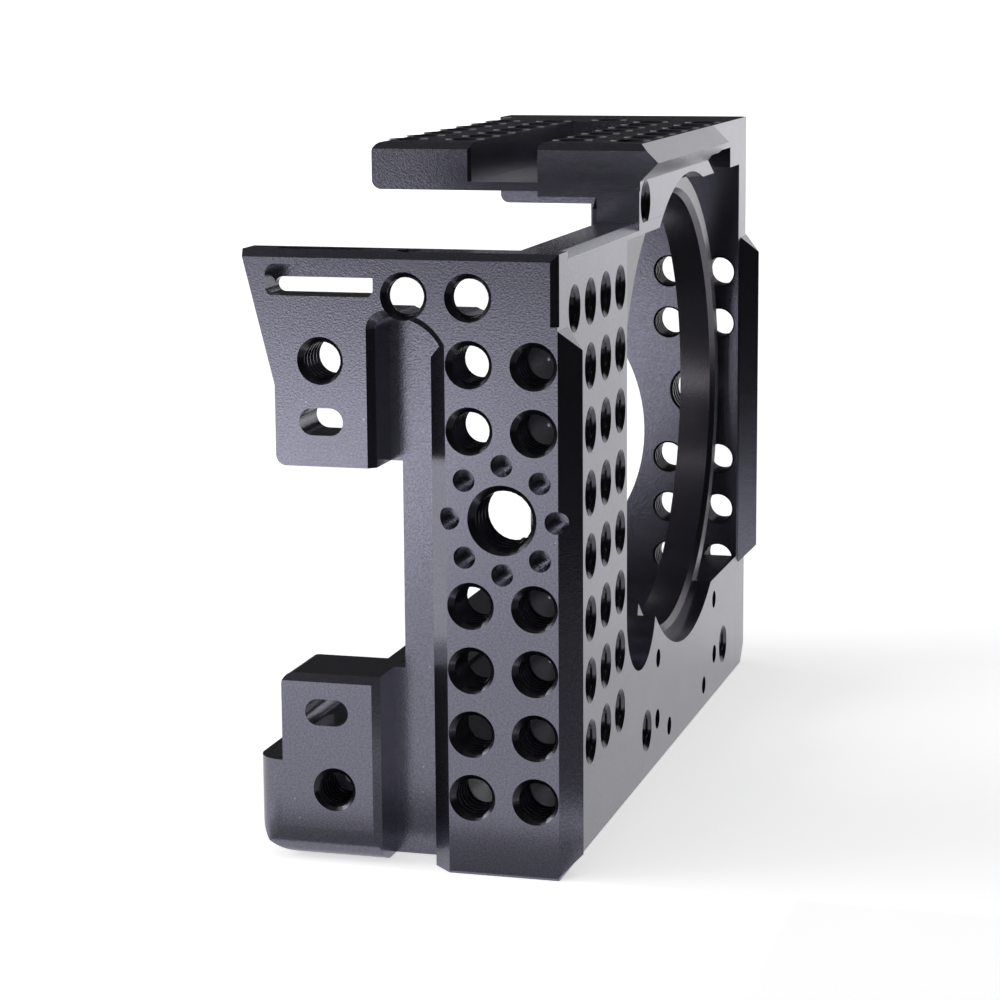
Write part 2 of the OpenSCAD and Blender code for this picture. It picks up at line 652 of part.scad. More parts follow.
module near_side() {
    color("#2b2c31") difference() {
        union() {
            difference() {
                union() {
                    yz(0, upper_t) polygon([[front_y, near_step_z], [front_y, low_top_z], [ear_top_y, low_top_z],
                                            [ear_rear_y, ear_turn_z], [face_y - cut, ear_turn_z],
                                            [face_y - cut, near_step_z]]);
                    intersection() {
                        yz(0, near_t) polygon(ear_outline);
                        block([0, face_y, ear_bottom_z], [near_t, ear_top_y, upper_step_z]);
                    }
                    block([0, face_y - cut, bottom_z], [near_rail_t, thick_y, upper_step_z]);
                    block([0, front_inner_y, near_step_z], [near_rail_t, face_y, upper_step_z]);
                    block([0, channel_back_y, bottom_z], [block_t, ear_rear_y, block_top_z]);
                    block([0, channel_back_y, bottom_z], [block_t, base_rear_y, floor_z]);
                    for (z = [[near_screw_z[0] - column, -half], [first_row * half, near_step_z]])
                        block([near_rail_t - cut, front_inner_y, z[0]], [near_lip_x, near_lip_y, z[1]]);
                    block([block_t - cut, under_y0, bottom_z], [block_t + under_l, under_y1, bottom_z + under_t]);
                    block([near_rail_t - cut, under_y0, bottom_z], [block_t, channel_back_y, bottom_z + under_t]);
                }
                channel();
                channel_mouth();
                block([-cut, web_edge_y, block_top_z], [block_t + cut, ear_top_y + cut, ear_bottom_z]);
            }
            block([0, front_y, bottom_z], [near_rail_t, face_y, near_step_z]);
            side_ridge(-1, near_ridge_z0, near_ridge_z1, 0, 1);
            intersection() {
                side_ridge(1, bottom_z - ridge, channel_top_z - ridge, 0, 1);
                block([0, 0, bottom_z], [near_rail_t, channel_back_y, channel_top_z]);
            }
        }
        for (z = through) relieved_x(column, z);
        for (y = [column, column + pitch]) quarter_x(0, y, top_row, near_rail_t);
        block([thin_t, cut, upper_step_z], [near_rail_t + cut, channel_back_y, pocket_top_z]);
        for (z = blind) quarter_x(0, -column, z, blind_depth, true);
        quarter_x(0, column, low_row, blind_depth, true);
        quarter_x(0, ear_mid_y, ear_hole_z, near_t + cut);
        rotate([0, quarter_turn, 0]) locating_set(near_rail_t + cut);
        along_x([thread_depth, 0, 0], three_eighths_r + relief, near_rail_t);
        slot_x(-cut, near_t + cut, ear_mid_y, upper_slot_z, small_slot_l, small_slot_h);
        slot_x(-cut, block_t + cut, ear_mid_y, lower_slot_z, small_slot_l, small_slot_h);
        soft_slot_x(-cut, strap_top_x1, ear_mid_y, strap_z, strap_l, strap_h, strap_r);
        slot_x(-cut, near_t + cut, ear_mid_y, strap_z - strap_h * half * half, strap_l, strap_h * half);
        block([strap_top_x0, thick_y, strap_z],
              [strap_top_x1, ear_mid_y + strap_l * half - edge_chamfer, low_top_z + cut]);
        along_z([thin_t, edge_hole_y, pocket_top_z - cut], edge_hole_r, pitch);
        translate([0, stepped_y, stepped_z]) rotate([0, quarter_turn, 0]) {
            drill(stepped_wide_r, stepped_wide_r + edge_chamfer * half, stepped_step);
            drill(stepped_narrow_r, stepped_narrow_r, stepped_depth, true);
        }
        bevel_y([0, 0, low_top_z], double * ear_top_y + cut);
        bevel_z([0, front_y, (low_top_z + near_ridge_z1 + cut) * half], low_top_z - near_ridge_z1);
        bevel_y([0, (channel_back_y + ear_rear_y) * half, block_top_z], ear_rear_y - channel_back_y + cut);
        round_x([-cut, ear_rear_y, ear_bottom_z], ear_r, 1, -1, block_t);
        round_x([-cut, ear_rear_y, block_top_z], ear_r, 1, 1, block_t + double);
        round_x([-cut, base_rear_y, bottom_z], base_low_r, 1, -1, block_t + double);
        round_z([0, base_rear_y, bottom_z - cut], base_edge_r, -1, 1, floor_z - bottom_z + double);
        round_y([0, channel_back_y - half, bottom_z], base_under_r, -1, -1, base_rear_y);
        at_near_screws() flat_hole(plate_screw_r, plate_head_r, plate_screw_l);
        at_base_near_screws() flat_hole(plate_screw_r, plate_head_r, plate_screw_l);
    }
}

// Front plate with its hole grid, the round opening, the recess beside it and the release lobe
module front_opening(y0, y1) {
    along_y([lens_x, y0, lens_z + lens_front_rise], lens_front_r, y1 - y0);
    block([grid_edge_x, y0, lobe_z], [lens_x, y1, recess_top_z]);
    along_y([lobe_x, y0, lobe_z], lobe_r, y1 - y0);
}
module front_plate() {
    color("#303136") difference() {
        union() {
            block([near_rail_t + seat_gap, front_y, bottom_z], [lens_x, front_back_y, low_top_z]);
            block([upper_t + seat_gap, front_y, near_step_z + seat_gap], [lens_x, front_back_y, low_top_z]);
            block([near_rail_t + seat_gap, front_y, bottom_z], [far_inner_x, front_back_y, window_bottom_z]);
        }
        front_opening(front_y - cut, front_back_y + cut);
        quarter_y(grid_x, grid_top_z, front_t + cut);
        for (i = [1 : grid_columns], k = [0 : grid_rows - 1]) quarter_y(grid_x + i * pitch, grid_top_z - k * pitch, front_t + cut);
        rod_holes();
        at_near_screws() flat_hole(plate_screw_r, plate_head_r, plate_screw_l);
        at_base_front_screws() flat_hole(small_screw_r, small_head_r, base_screw_l, small_sink);
        at_lens_screws() flat_hole(small_screw_r, small_head_r, lens_screw_l, small_sink);
        dowel_holes();
        bevel_x([lip_x * half, front_y, low_top_z], lip_x);
        at_rail_screws() flat_hole(plate_screw_r, plate_head_r, top_screw_l);
    }
}
module rod_holes() {
    for (s = [-1, 1]) {
        quarter_y(lens_x + s * rod_spacing * half, rod_z, rod_depth, true);
        translate([lens_x + s * (rod_spacing * half - locating_ring_r), front_y, rod_z]) rotate([-quarter_turn, 0, 0])
            drill(locating_r, locating_r, locating_depth, true);
    }
}

// Lens plate: the recessed face, the ring round the lens and a flange hidden behind the front plate
module lens_plate() {
    color("#3a3734") difference() {
        union() {
            intersection() {
                along_y([lens_x, lens_face_y, lens_z + lens_front_rise], lens_front_r - seat_gap,
                        lens_back_y - lens_face_y);
                block([0, front_y, bottom_z], [far_x, lens_back_y, lens_top_z]);
            }
            intersection() {
                along_y([lens_x, lens_face_y, lens_z], ring_r, lens_back_y - lens_face_y);
                block([lens_x, front_y, window_bottom_z + seat_gap], [far_x, lens_back_y, lens_top_z]);
            }
            intersection() {
                along_y([lens_x, front_inner_y, lens_z], flange_r, lens_back_y - front_inner_y);
                union() {
                    block([grid_edge_x - flange_lap, front_y, bottom_z],
                          [lens_x, lens_back_y, low_top_z - edge_chamfer]);
                    block([flange_top_x, front_y, 0], [lens_x, lens_back_y, lens_top_z]);
                    block([0, front_y, bottom_z], [far_x, lens_back_y, window_bottom_z - seat_gap]);
                }
            }
            block([grid_edge_x + seat_gap, lens_face_y, lobe_z], [lens_x, lens_back_y, recess_top_z - seat_gap]);
            block([grid_edge_x - flange_lap, front_inner_y, lobe_z - column],
                  [lens_x, lens_back_y, low_top_z - edge_chamfer]);
        }
        along_y([lens_x, front_y, lens_z], lens_r, lens_back + cut);
        translate([lens_x, lens_face_y, lens_z]) rotate([-quarter_turn, 0, 0])
            cylinder(r1 = lens_r + rim_chamfer, r2 = lens_r, h = rim_chamfer, $fn = 96);
        along_y([lobe_x, front_y, lobe_z], lobe_r, lens_back + cut);
        for (k = [0 : grid_rows - 1]) quarter_y(grid_x + grid_columns * pitch, grid_top_z - k * pitch, lens_back + cut);
        at_lens_screws() flat_hole(small_screw_r, small_head_r, lens_screw_l, small_sink);
        at_rail_screws() flat_hole(plate_screw_r, plate_head_r, top_screw_l);
        dowel_holes();
    }
}

// Top rail: the front bar with its ridge, its hole rows and the lip above the front plate
module top_rail() {
    color("#2f3035") difference() {
        union() {
            block([raised_x, front_y, top_rail_bottom_z], [far_inner_x, face_y, top_z]);
            block([lip_x, front_y, low_top_z + seat_gap], [lens_x, front_back_y, top_rail_bottom_z + cut]);
            yz(raised_x, top_ridge_end_x) polygon([[front_y, top_z], [-apex_y, top_z - ridge], [front_y, top_z - ridge_root]]);
        }
        along_y([lens_x, front_y - cut, lens_z + lens_front_rise], lens_front_r, front_t + cut);
        block([tongue_x - seat_gap, tongue_y - seat_gap, top_rail_bottom_z - cut],
              [far_x, face_y + cut, top_floor_z + seat_gap]);
        translate([0, front_back_y, 0]) rotate([quarter_turn, 0, 0]) linear_extrude(front_t + cut)
            polygon([[notch_x, notch_z], [notch_x + notch_slant, top_rail_bottom_z - cut],
                     [notch_end_x, top_rail_bottom_z - cut], [notch_end_x, notch_z]]);
        for (i = [0 : top_columns - 1], y = top_pair) quarter_down(top_grid_x + i * pitch, y);
        quarter_y(lip_hole_x, lip_hole_z, front_t + cut);
        bevel_y([raised_x, 0, top_z], rail_over + cut);
        bevel_x([(raised_x + slot_end_x) * half, face_y, top_z], slot_end_x - raised_x, edge_chamfer * half);
        at_rail_screws() flat_hole(plate_screw_r, plate_head_r, top_screw_l);
        at_bar_screws() flat_hole(plate_screw_r, plate_head_r, plate_screw_l);
        at_far_screws() flat_hole(side_screw_r, side_head_r, side_screw_l);
        dowel_holes();
    }
}

// Rear top bar, the thin floor of the slot between the bars and the tongue that carries the top rail
module top_plate() {
    color("#34363d") difference() {
        union() {
            block([raised_x, top_bar_y0, top_bar_bottom_z], [far_inner_x, top_bar_y1, top_z]);
            block([raised_x, face_y + seat_gap, top_bar_bottom_z], [far_inner_x, top_bar_y0, top_floor_z]);
            block([slot_end_x, face_y + seat_gap, top_bar_bottom_z], [far_inner_x, top_bar_y0, top_z]);
            block([tongue_x, tongue_y, top_rail_bottom_z], [far_inner_x, face_y + cut, top_floor_z]);
        }
        for (i = [0 : top_columns - 1], y = top_pair) quarter_down(top_grid_x + i * pitch, top_bar_mid + y);
        quarter_down(slot_end_x + pitch * half + cut, (face_y + top_bar_y0) * half);
        bevel_y([raised_x, top_bar_mid, top_z], top_bar_y1 - top_bar_y0 + double);
        bevel_z([raised_x, top_bar_y0, (top_z + top_floor_z) * half], top_z - top_floor_z, edge_chamfer * half);
        round_x([0, top_bar_y1, top_z], top_bar_r, 1, 1, cage_l);
        round_x([0, top_bar_y1, top_bar_bottom_z], top_bar_r, 1, -1, cage_l);
        at_bar_screws() flat_hole(plate_screw_r, plate_head_r, plate_screw_l);
        at_far_screws() flat_hole(side_screw_r, side_head_r, side_screw_l);
        pad_places() translate([0, 0, top_bar_bottom_z - cut]) pad_shape(seat_gap, pad_recess + cut + seat_gap);
    }
}

// Far side: a plate with a rail, a scooped rear edge and an arm below the top
module far_side() {
    color("#2c2d32") difference() {
        union() {
            block([far_x, front_y, bottom_z], [cage_l, far_rear_y, top_z]);
            block([far_x, front_y, far_arm_z], [cage_l, far_arm_y, top_z]);
            side_ridge(-1, far_ridge_z0, far_ridge_z1, cage_l, -1);
        }
        difference() {
            block([cage_l - far_groove, face_y, far_ridge_z0], [cage_l + cut, far_groove_y, far_ridge_z1]);
            side_ridge(1, far_ridge_z0 - ridge, far_ridge_z1 + ridge, cage_l, -1);
        }
        along_x([far_x - cut, scoop_y + scoop_r, scoop_z], scoop_r, far_t + double * cut);
        for (z = through, y = top_pair) translate([double * cage_l, 0, 0]) mirror([1, 0, 0])
            quarter_x(cage_l, y, z, far_t + cut);
        translate([cage_l, 0, 0]) rotate([0, -quarter_turn, 0]) locating_set(far_t + cut);
        at_far_screws() flat_hole(side_screw_r, side_head_r, side_screw_l);
        bevel_y([cage_l, 0, bottom_z], double * rail_over, far_corner);
        bevel_z([cage_l, front_y, (top_z + far_ridge_z1) * half], top_z - far_ridge_z1);
        round_x([far_x - cut, far_arm_y, far_arm_z], top_bar_r, 1, -1, far_t + double);
        round_x([far_x - cut, far_rear_y, bottom_z], base_edge_r, 1, -1, far_t + double);
    }
}

// Base plate with the pockets of the captive camera screw
module base_plate() {
    color("#27282c") difference() {
        union() {
            block([block_t + seat_gap, face_y, bottom_z], [far_inner_x, base_rear_y, floor_z]);
            block([near_rail_t + seat_gap, front_inner_y, bottom_z], [far_inner_x, face_y + double, floor_z]);
        }
        block([near_rail_t - cut, face_y - seat_gap, bottom_z - cut],
              [block_t + seat_gap, base_rear_y, floor_z + cut]);
        block([grid_edge_x - column, front_y, lens_z - flange_r - seat_gap],
              [lens_x + flange_r + seat_gap - column, lens_back_y + seat_gap, floor_z + cut]);
        block([near_rail_t - cut, under_y0 - seat_gap, bottom_z - cut],
              [block_t + under_l + seat_gap, under_y1 + seat_gap, bottom_z + under_t + seat_gap]);
        round_x([0, base_rear_y, bottom_z], base_low_r, 1, -1, cage_l);
        round_z([far_inner_x, base_rear_y, bottom_z - cut], base_edge_r, 1, 1, floor_z - bottom_z + double);
        along_z([lens_x, screw_y, bottom_z - cut], head_r + pocket_gap, pocket_z - bottom_z + cut);
        along_z([lens_x, screw_y, bottom_z], shank_r + run_gap, floor_z - bottom_z);
        along_z([lens_x, screw_y, web_top_z], clip_r + pocket_gap, floor_z - web_top_z + cut);
        translate([base_thread_x, base_thread_y, bottom_z]) locating_set(base_thread_depth);
        for (i = [0 : double]) translate([base_small_x + i * pitch, base_thread_y, bottom_z])
            drill(quarter_r, quarter_mouth_r, base_thread_depth, true);
        rod_holes();
        at_base_front_screws() flat_hole(small_screw_r, small_head_r, base_screw_l, small_sink);
        at_base_near_screws() flat_hole(plate_screw_r, plate_head_r, plate_screw_l);
        at_far_screws() flat_hole(side_screw_r, side_head_r, side_screw_l);
        dowel_holes();
        pad_places() translate([0, 0, floor_z - pad_recess - seat_gap]) pad_shape(seat_gap, pad_t + cut);
    }
}

// Captive camera screw and the clip that keeps it in the base
module camera_screw() {
    color("#8d9096") difference() {
        translate([lens_x, screw_y, 0]) union() {
            translate([0, 0, head_top_z - head_t]) cylinder(r = head_r, h = head_t, $fn = 72);
            translate([0, 0, head_top_z - cut]) cylinder(r = shank_r, h = clip_z - run_gap - head_top_z + cut, $fn = 32);
            translate([0, 0, head_top_z]) cylinder(r = groove_r, h = floor_z + tip_rise - head_top_z, $fn = 32);
            translate([0, 0, clip_z + clip_t + run_gap])
                cylinder(r = shank_r, h = floor_z + tip_rise - clip_z - clip_t - run_gap - (shank_r - groove_r), $fn = 32);
            translate([0, 0, floor_z + tip_rise - (shank_r - groove_r)])
                cylinder(r1 = shank_r, r2 = groove_r, h = shank_r - groove_r, $fn = 32);
        }
        block([lens_x - head_r - cut, screw_y - coin_slot_w * half, head_top_z - head_t - cut],
              [lens_x + head_r + cut, screw_y + coin_slot_w * half, head_top_z - head_t + coin_slot_t]);
        translate([lens_x, screw_y, head_top_z - head_t - cut]) cylinder(r = coin_slot_w, h = head_t + cut, $fn = 6);
    }
}
module screw_washer() {
    color("#2f2f30") difference() {
        along_z([lens_x, screw_y, washer_z], washer_r, washer_t);
        along_z([lens_x, screw_y, washer_z - cut], shank_r + run_gap, washer_t + double * cut);
    }
}
module screw_clip() {
    color("#b8babd") difference() {
        along_z([lens_x, screw_y, clip_z], clip_r, clip_t);
        along_z([lens_x, screw_y, clip_z - cut], groove_r + run_gap, clip_t + double * cut);
        block([lens_x, screw_y - clip_gap * half, clip_z - cut],
              [lens_x + clip_r + cut, screw_y + clip_gap * half, clip_z + clip_t + cut]);
    }
}

// Rubber pads on the camera floor and under the rear top bar
module pad_places() {
    for (x = [raised_x + pitch, lens_x + pitch + column]) translate([x, pad_y, 0]) children();
}
module pad_shape(grow, h) {
    translate([-grow, -pad_w * half - grow, 0]) cube([pad_l + double * grow, pad_w + double * grow, h]);
}
module base_pads() {
    color("#1b1b1c") pad_places() translate([0, 0, floor_z - pad_recess]) pad_shape(0, pad_t);
}
module top_pads() {
    color("#1b1b1c") pad_places() translate([0, 0, top_bar_bottom_z + pad_recess - pad_t]) pad_shape(0, pad_t);
}

// Fasteners
module near_screws() { color("#55575c") at_near_screws() flat_screw(plate_screw_r, plate_head_r, plate_screw_l); }
module rail_screws() { color("#55575c") at_rail_screws() flat_screw(plate_screw_r, plate_head_r, top_screw_l); }
module bar_screws() { color("#55575c") at_bar_screws() flat_screw(plate_screw_r, plate_head_r, plate_screw_l); }
module far_screws() { color("#55575c") at_far_screws() flat_screw(side_screw_r, side_head_r, side_screw_l); }
module base_near_screws() {
    color("#55575c") at_base_near_screws() flat_screw(plate_screw_r, plate_head_r, plate_screw_l);
}
module base_front_screws() {
    color("#55575c") at_base_front_screws() flat_screw(small_screw_r, small_head_r, base_screw_l);
}
module lens_plate_screws() {
    color("#55575c") at_lens_screws() flat_screw(small_screw_r, small_head_r, lens_screw_l);
}
module dowel_pins() { color("#9a9ca0") at_dowels() cylinder(r = dowel_r, h = dowel_l, $fn = 32); }

near_side();
front_plate();
lens_plate();
top_rail();
top_plate();
far_side();
base_plate();
camera_screw();
screw_washer();
screw_clip();
base_pads();
top_pads();
near_screws();
rail_screws();
bar_screws();
far_screws();
base_front_screws();
base_near_screws();
lens_plate_screws();
dowel_pins();
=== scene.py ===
"""Looks of the camera cage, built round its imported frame: finishes, thread lines, machined details and the studio."""

import math

import bmesh
import bpy
from bpy.props import FloatProperty, FloatVectorProperty, IntProperty, PointerProperty
from bpy.types import Operator, Panel, PropertyGroup
from mathutils import Matrix, Vector


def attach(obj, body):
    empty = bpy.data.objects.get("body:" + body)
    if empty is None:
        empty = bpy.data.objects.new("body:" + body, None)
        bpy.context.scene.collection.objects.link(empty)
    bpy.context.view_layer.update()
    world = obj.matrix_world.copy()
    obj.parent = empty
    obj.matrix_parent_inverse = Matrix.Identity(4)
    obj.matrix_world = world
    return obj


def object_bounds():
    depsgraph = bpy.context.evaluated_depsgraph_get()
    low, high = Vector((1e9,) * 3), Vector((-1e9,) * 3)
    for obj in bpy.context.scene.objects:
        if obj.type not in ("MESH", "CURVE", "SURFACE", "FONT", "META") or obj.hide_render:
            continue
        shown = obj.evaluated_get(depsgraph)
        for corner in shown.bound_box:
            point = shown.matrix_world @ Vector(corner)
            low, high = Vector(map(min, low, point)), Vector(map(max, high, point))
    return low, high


bl_info = {
    "name": "Camera cage looks",
    "version": (1, 0, 0),
    "blender": (4, 5, 0),
    "location": "View3D > Sidebar > Cage",
    "description": "Finishes, thread lines and studio for the camera cage",
    "category": "Object",
}

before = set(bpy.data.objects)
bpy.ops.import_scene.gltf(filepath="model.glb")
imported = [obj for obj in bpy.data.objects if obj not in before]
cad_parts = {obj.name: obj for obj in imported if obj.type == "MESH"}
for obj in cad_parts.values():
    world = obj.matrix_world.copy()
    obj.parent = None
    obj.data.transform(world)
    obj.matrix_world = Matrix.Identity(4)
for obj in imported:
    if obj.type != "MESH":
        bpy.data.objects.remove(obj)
CAD_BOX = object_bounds()
MM = 0.001
FULL_TURN = 2 * math.pi
QUARTER_TURN = math.pi / 2
X, Y, Z = Vector((1, 0, 0)), Vector((0, 1, 0)), Vector((0, 0, 1))

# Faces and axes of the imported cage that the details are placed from
CAGE_LENGTH = 133.4 * MM
TOP = 47.7 * MM
UNDERSIDE = -50 * MM
FRONT_FACE = -7.85 * MM
LENS_X = 84.4 * MM
BASE_MIDDLE = 16 * MM
BAR_MIDDLE = 26.05 * MM

# Places of the single holes and of the grids
EAR_HOLE = Vector((0, 25.5 * MM, 21 * MM))
CORNER_HOLE = Vector((0, 24.5 * MM, -39.3 * MM))
LIP_HOLE = Vector((52.6 * MM, FRONT_FACE, 38.9 * MM))
TOP_PLATE_HOLE = Vector((117.5 * MM, 13.05 * MM, TOP))
BASE_LARGE_HOLE = Vector((108 * MM, BASE_MIDDLE, UNDERSIDE))
FRONT_GRID_X, FRONT_GRID_TOP = 9.3 * MM, 27.9 * MM
TOP_GRID_X = 58 * MM
BASE_GRID_X = 40 * MM
ROD_HALF, ROD_HEIGHT = 30 * MM, -42.9 * MM

# Depth in millimetres to which each kind of thread is cut
THREAD_DEPTHS = {
    "near_through_threads": 7.25, "near_edge_threads": 2.55, "near_blind_threads": 6.9,
    "front_grid_threads": 6.45, "rod_threads": 11, "top_threads": 3.9, "far_threads": 7.35,
    "base_threads": 8.5, "side_large_threads": 7.25, "base_large_thread": 8.9,
}

# The metric thread in the near side's lower corner: wall, crest and mouth radius, lead and depth
CORNER_THREAD = (2.6 * MM, 2.33 * MM, 3.1 * MM, 1 * MM, 6.8 * MM)

# Drill points: depth gained for each unit of radius, and steps round
DRILL_SLOPE = 0.59
DRILL_STEPS = 36
# A drill point's middle ring as a share of its radius, and its tip's step and middle as shares of the tip's radius
BAND = 0.55
STEP_R, STEP_RISE, MIDDLE_RISE = 0.9, 0.5, 0.2
# Ends of a thread's root and of its crest, in quarters of its lead
ROOT_END, CREST_START, CREST_END = 0.7, 1.9, 2.6
# Depth and tip radius of the near side's drill points; radius, depth, slope and tip radius of the corner's
NEAR_POINT = (7.38 * MM, 0.4 * MM)
CORNER_POINT = (2.07 * MM, 9.98 * MM, DRILL_SLOPE, 0.3 * MM)

# How far a thread's roots lie inside the wall, and its mouth inside the countersink
ROOT_SINK = 0.04 * MM
MOUTH_SINK = 0.02 * MM
# Distance under which vertices are one, and how near a cut a vertex may lie
WELD = 0.002 * MM
CUT_TOLERANCE = 0.0005 * MM

# Camera screw: the thread's profile as radius and height in millimetres, its ends, and its head's knurl
SCREW_PROFILE = [(3.05, 0), (3.2, 0.45), (3.2, 0.6), (3.05, 1.05)]
SCREW_THREAD_ENDS = (-39.4 * MM, -35.75 * MM)
KNURL_RADII = (9.47 * MM, 9.62 * MM)
KNURL_TEETH = 96
KNURL_ENDS = (-49.44 * MM, -47.64 * MM)

# Numbers of the colour sockets of a Mix node
MIX_A, MIX_B, MIX_RESULT = 6, 7, 2
DUST_GREY = (0.5, 0.5, 0.5, 1)
WHITE = (1, 1, 1, 1)

# Lamps of the studio: name, which is also its power's setting, place, size, and whether reflections show it
LAMPS = (
    ("top_lamp", (-0.15, 0.05, 1.15), 1.3, False),
    ("left_lamp", (-0.25, 0.95, 0.45), 0.6, True),
    ("eye_lamp", (-0.45, 0.0, 0.1), 0.06, True),
)
# Width of the camera's sensor in millimetres
SENSOR = 36
# Distances from the cage at which the floor's glow starts to rise and is full
GLOW_NEAR, GLOW_FAR = 0.35, 1.6
# Level of the cards that lie just over the floor
LOW = CAD_BOX[0][2] + 0.3 * MM
# Cards of the studio: name, middle, width, height, axis they face, shade and glow
CARDS = (
    ("front_card", (-0.1, -0.19, 0.25), 0.8, 0.6, "Y", 0.012, 0.0),
    ("rear_card", (-0.5, -0.345, 0.1775), 1.19, 0.425, "X", 0.012, 0.0),
    ("back_card", (0.8, 0.6, 0.27), 1.2, 0.65, "X", 0.03, 0.0),
    ("sky_card", (0.0, -0.1, 0.9), 1.3, 1.3, "Z", 0.12, 0.0),
    ("low_card", (-0.25, -0.115, LOW), 0.5, 0.15, "Z", 0.22, 0.0),
    # A grey sheet at the cage's near foot: a painted contact shadow on the floor, which the camera itself does not see
    ("contact_card", (-0.01, 0.01, LOW), 0.02, 0.08, "Z", 0.6, 0.0),
    ("bounce_card", (-0.295, 0.36, LOW), 0.37, 0.54, "Z", 0.012, 2.9),
)


# Sizes and colours a user would change


class HoleSizes(PropertyGroup):
    """Where the threaded holes are and how their threads are cut."""

    pitch: FloatProperty(name="Pitch", description="Distance between neighbouring holes of every grid",
                         default=9 * MM, unit="LENGTH", precision=5)
    first_row: FloatProperty(name="First row", description="Height of the first side row above the large hole",
                             default=12.03 * MM, unit="LENGTH", precision=5)
    wall_r: FloatProperty(name="Wall radius", description="Wall radius of a quarter-inch hole",
                          default=2.8 * MM, unit="LENGTH", precision=5)
    crest_r: FloatProperty(name="Crest radius", description="Radius at the crests of a quarter-inch thread",
                           default=2.52 * MM, unit="LENGTH", precision=5)
    mouth_r: FloatProperty(name="Mouth radius", description="Radius of a quarter-inch hole's countersunk mouth",
                           default=3.3 * MM, unit="LENGTH", precision=5)
    lead: FloatProperty(name="Lead", description="Lead of a quarter-inch thread",
                        default=1.27 * MM, unit="LENGTH", precision=5)
    large_wall_r: FloatProperty(name="Large wall radius", description="Wall radius of a three-eighths hole",
                                default=4.3 * MM, unit="LENGTH", precision=5)
    large_crest_r: FloatProperty(name="Large crest radius", description="Radius at the crests of a large thread",
                                 default=3.93 * MM, unit="LENGTH", precision=5)
    large_mouth_r: FloatProperty(name="Large mouth radius", description="Mouth radius of a three-eighths hole",
                                 default=4.85 * MM, unit="LENGTH", precision=5)
    large_lead: FloatProperty(name="Large lead", description="Lead of a three-eighths thread",
                              default=1.5875 * MM, unit="LENGTH", precision=5)
    facets: IntProperty(name="Facets", description="Steps in one turn of a thread", default=28, min=12, max=64)


class FinishColours(PropertyGroup):
    """Colours and gloss of the finishes."""

    anodised: FloatVectorProperty(name="Anodised", description="Colour of the bead-blasted anodised faces",
                                  subtype="COLOR", default=(0.15, 0.148, 0.188), min=0, max=1)
    anodised_warm: FloatVectorProperty(name="Lens plate", description="Colour of the lens plate",
                                       subtype="COLOR", default=(0.11, 0.104, 0.118), min=0, max=1)
    thread: FloatVectorProperty(name="Threads", description="Colour inside the threads",
                                subtype="COLOR", default=(0.085, 0.084, 0.1), min=0, max=1)
    drilled: FloatVectorProperty(name="Drill points", description="Colour of the coated drill points",
                                 subtype="COLOR", default=(0.42, 0.42, 0.46), min=0, max=1)
    raw: FloatVectorProperty(name="Raw tip", description="Colour of the uncoated drill points",
                             subtype="COLOR", default=(0.85, 0.86, 0.89), min=0, max=1)
    steel: FloatVectorProperty(name="Steel", description="Colour of the camera screw",
                               subtype="COLOR", default=(0.46, 0.455, 0.45), min=0, max=1)
    clip: FloatVectorProperty(name="Clip", description="Colour of the clip and the dowels",
                              subtype="COLOR", default=(0.55, 0.55, 0.56), min=0, max=1)
    oxide: FloatVectorProperty(name="Fasteners", description="Colour of the assembly screws",
                               subtype="COLOR", default=(0.09, 0.088, 0.09), min=0, max=1)
    rubber: FloatVectorProperty(name="Pads", description="Colour of the rubber pads",
                                subtype="COLOR", default=(0.022, 0.022, 0.023), min=0, max=1)
    nylon: FloatVectorProperty(name="Washer", description="Colour of the nylon washer",
                               subtype="COLOR", default=(0.03, 0.03, 0.031), min=0, max=1)
    blast_gloss: FloatProperty(name="Blasted roughness", description="Roughness of the blasted faces",
                               default=0.21, min=0, max=1, subtype="FACTOR")


class StudioSettings(PropertyGroup):
    """Camera, floor, lamps and the even fill light."""

    eye: FloatVectorProperty(name="Eye", description="Where the camera stands", subtype="TRANSLATION",
                             unit="LENGTH", default=(-0.36276, -0.10186, 0.07234))
    turn: FloatVectorProperty(name="Turn", description="How the camera is turned", subtype="EULER", unit="ROTATION",
                              default=(1.388492, 0.007081, -1.297802))
    lens: FloatProperty(name="Lens", description="Focal length in millimetres", default=102.47)
    floor_size: FloatProperty(name="Floor", description="Half the width of the floor", default=8, unit="LENGTH")
    floor_white: FloatProperty(name="Floor white", description="How white the floor is", default=0.86, min=0, max=1)
    floor_glow: FloatProperty(name="Floor glow", description="White that the camera adds to the floor",
                              default=0.6, min=0, max=1)
    sky: FloatProperty(name="Fill", description="Strength of the even fill light", default=0.42, min=0, max=2)
    top_lamp: FloatProperty(name="Top lamp", description="Power of the lamp above", default=7.5, unit="POWER")
    eye_lamp: FloatProperty(name="Eye lamp", description="Power of the small lamp that looks into the holes",
                            default=0.15, unit="POWER")
    left_lamp: FloatProperty(name="Left lamp", description="Power of the lamp at the left", default=4.0, unit="POWER")


# Shared pieces of every material


def new_group(name, inputs, outputs):
    """An empty node group with named sockets, and the nodes that stand for its two ends."""
    group = bpy.data.node_groups.new(name, "ShaderNodeTree")
    for label, value in inputs.items():
        socket = group.interface.new_socket(label, in_out="INPUT", socket_type="NodeSocketFloat")
        socket.default_value = value
    for label in outputs:
        group.interface.new_socket(label, in_out="OUTPUT", socket_type="NodeSocketFloat")
    return group, group.nodes.new("NodeGroupInput"), group.nodes.new("NodeGroupOutput")


def feed(tree, value, socket):
    """Gives an input socket its value, which is another socket or a number."""
    if isinstance(value, bpy.types.NodeSocket):
        tree.links.new(value, socket)
    else:
        socket.default_value = value


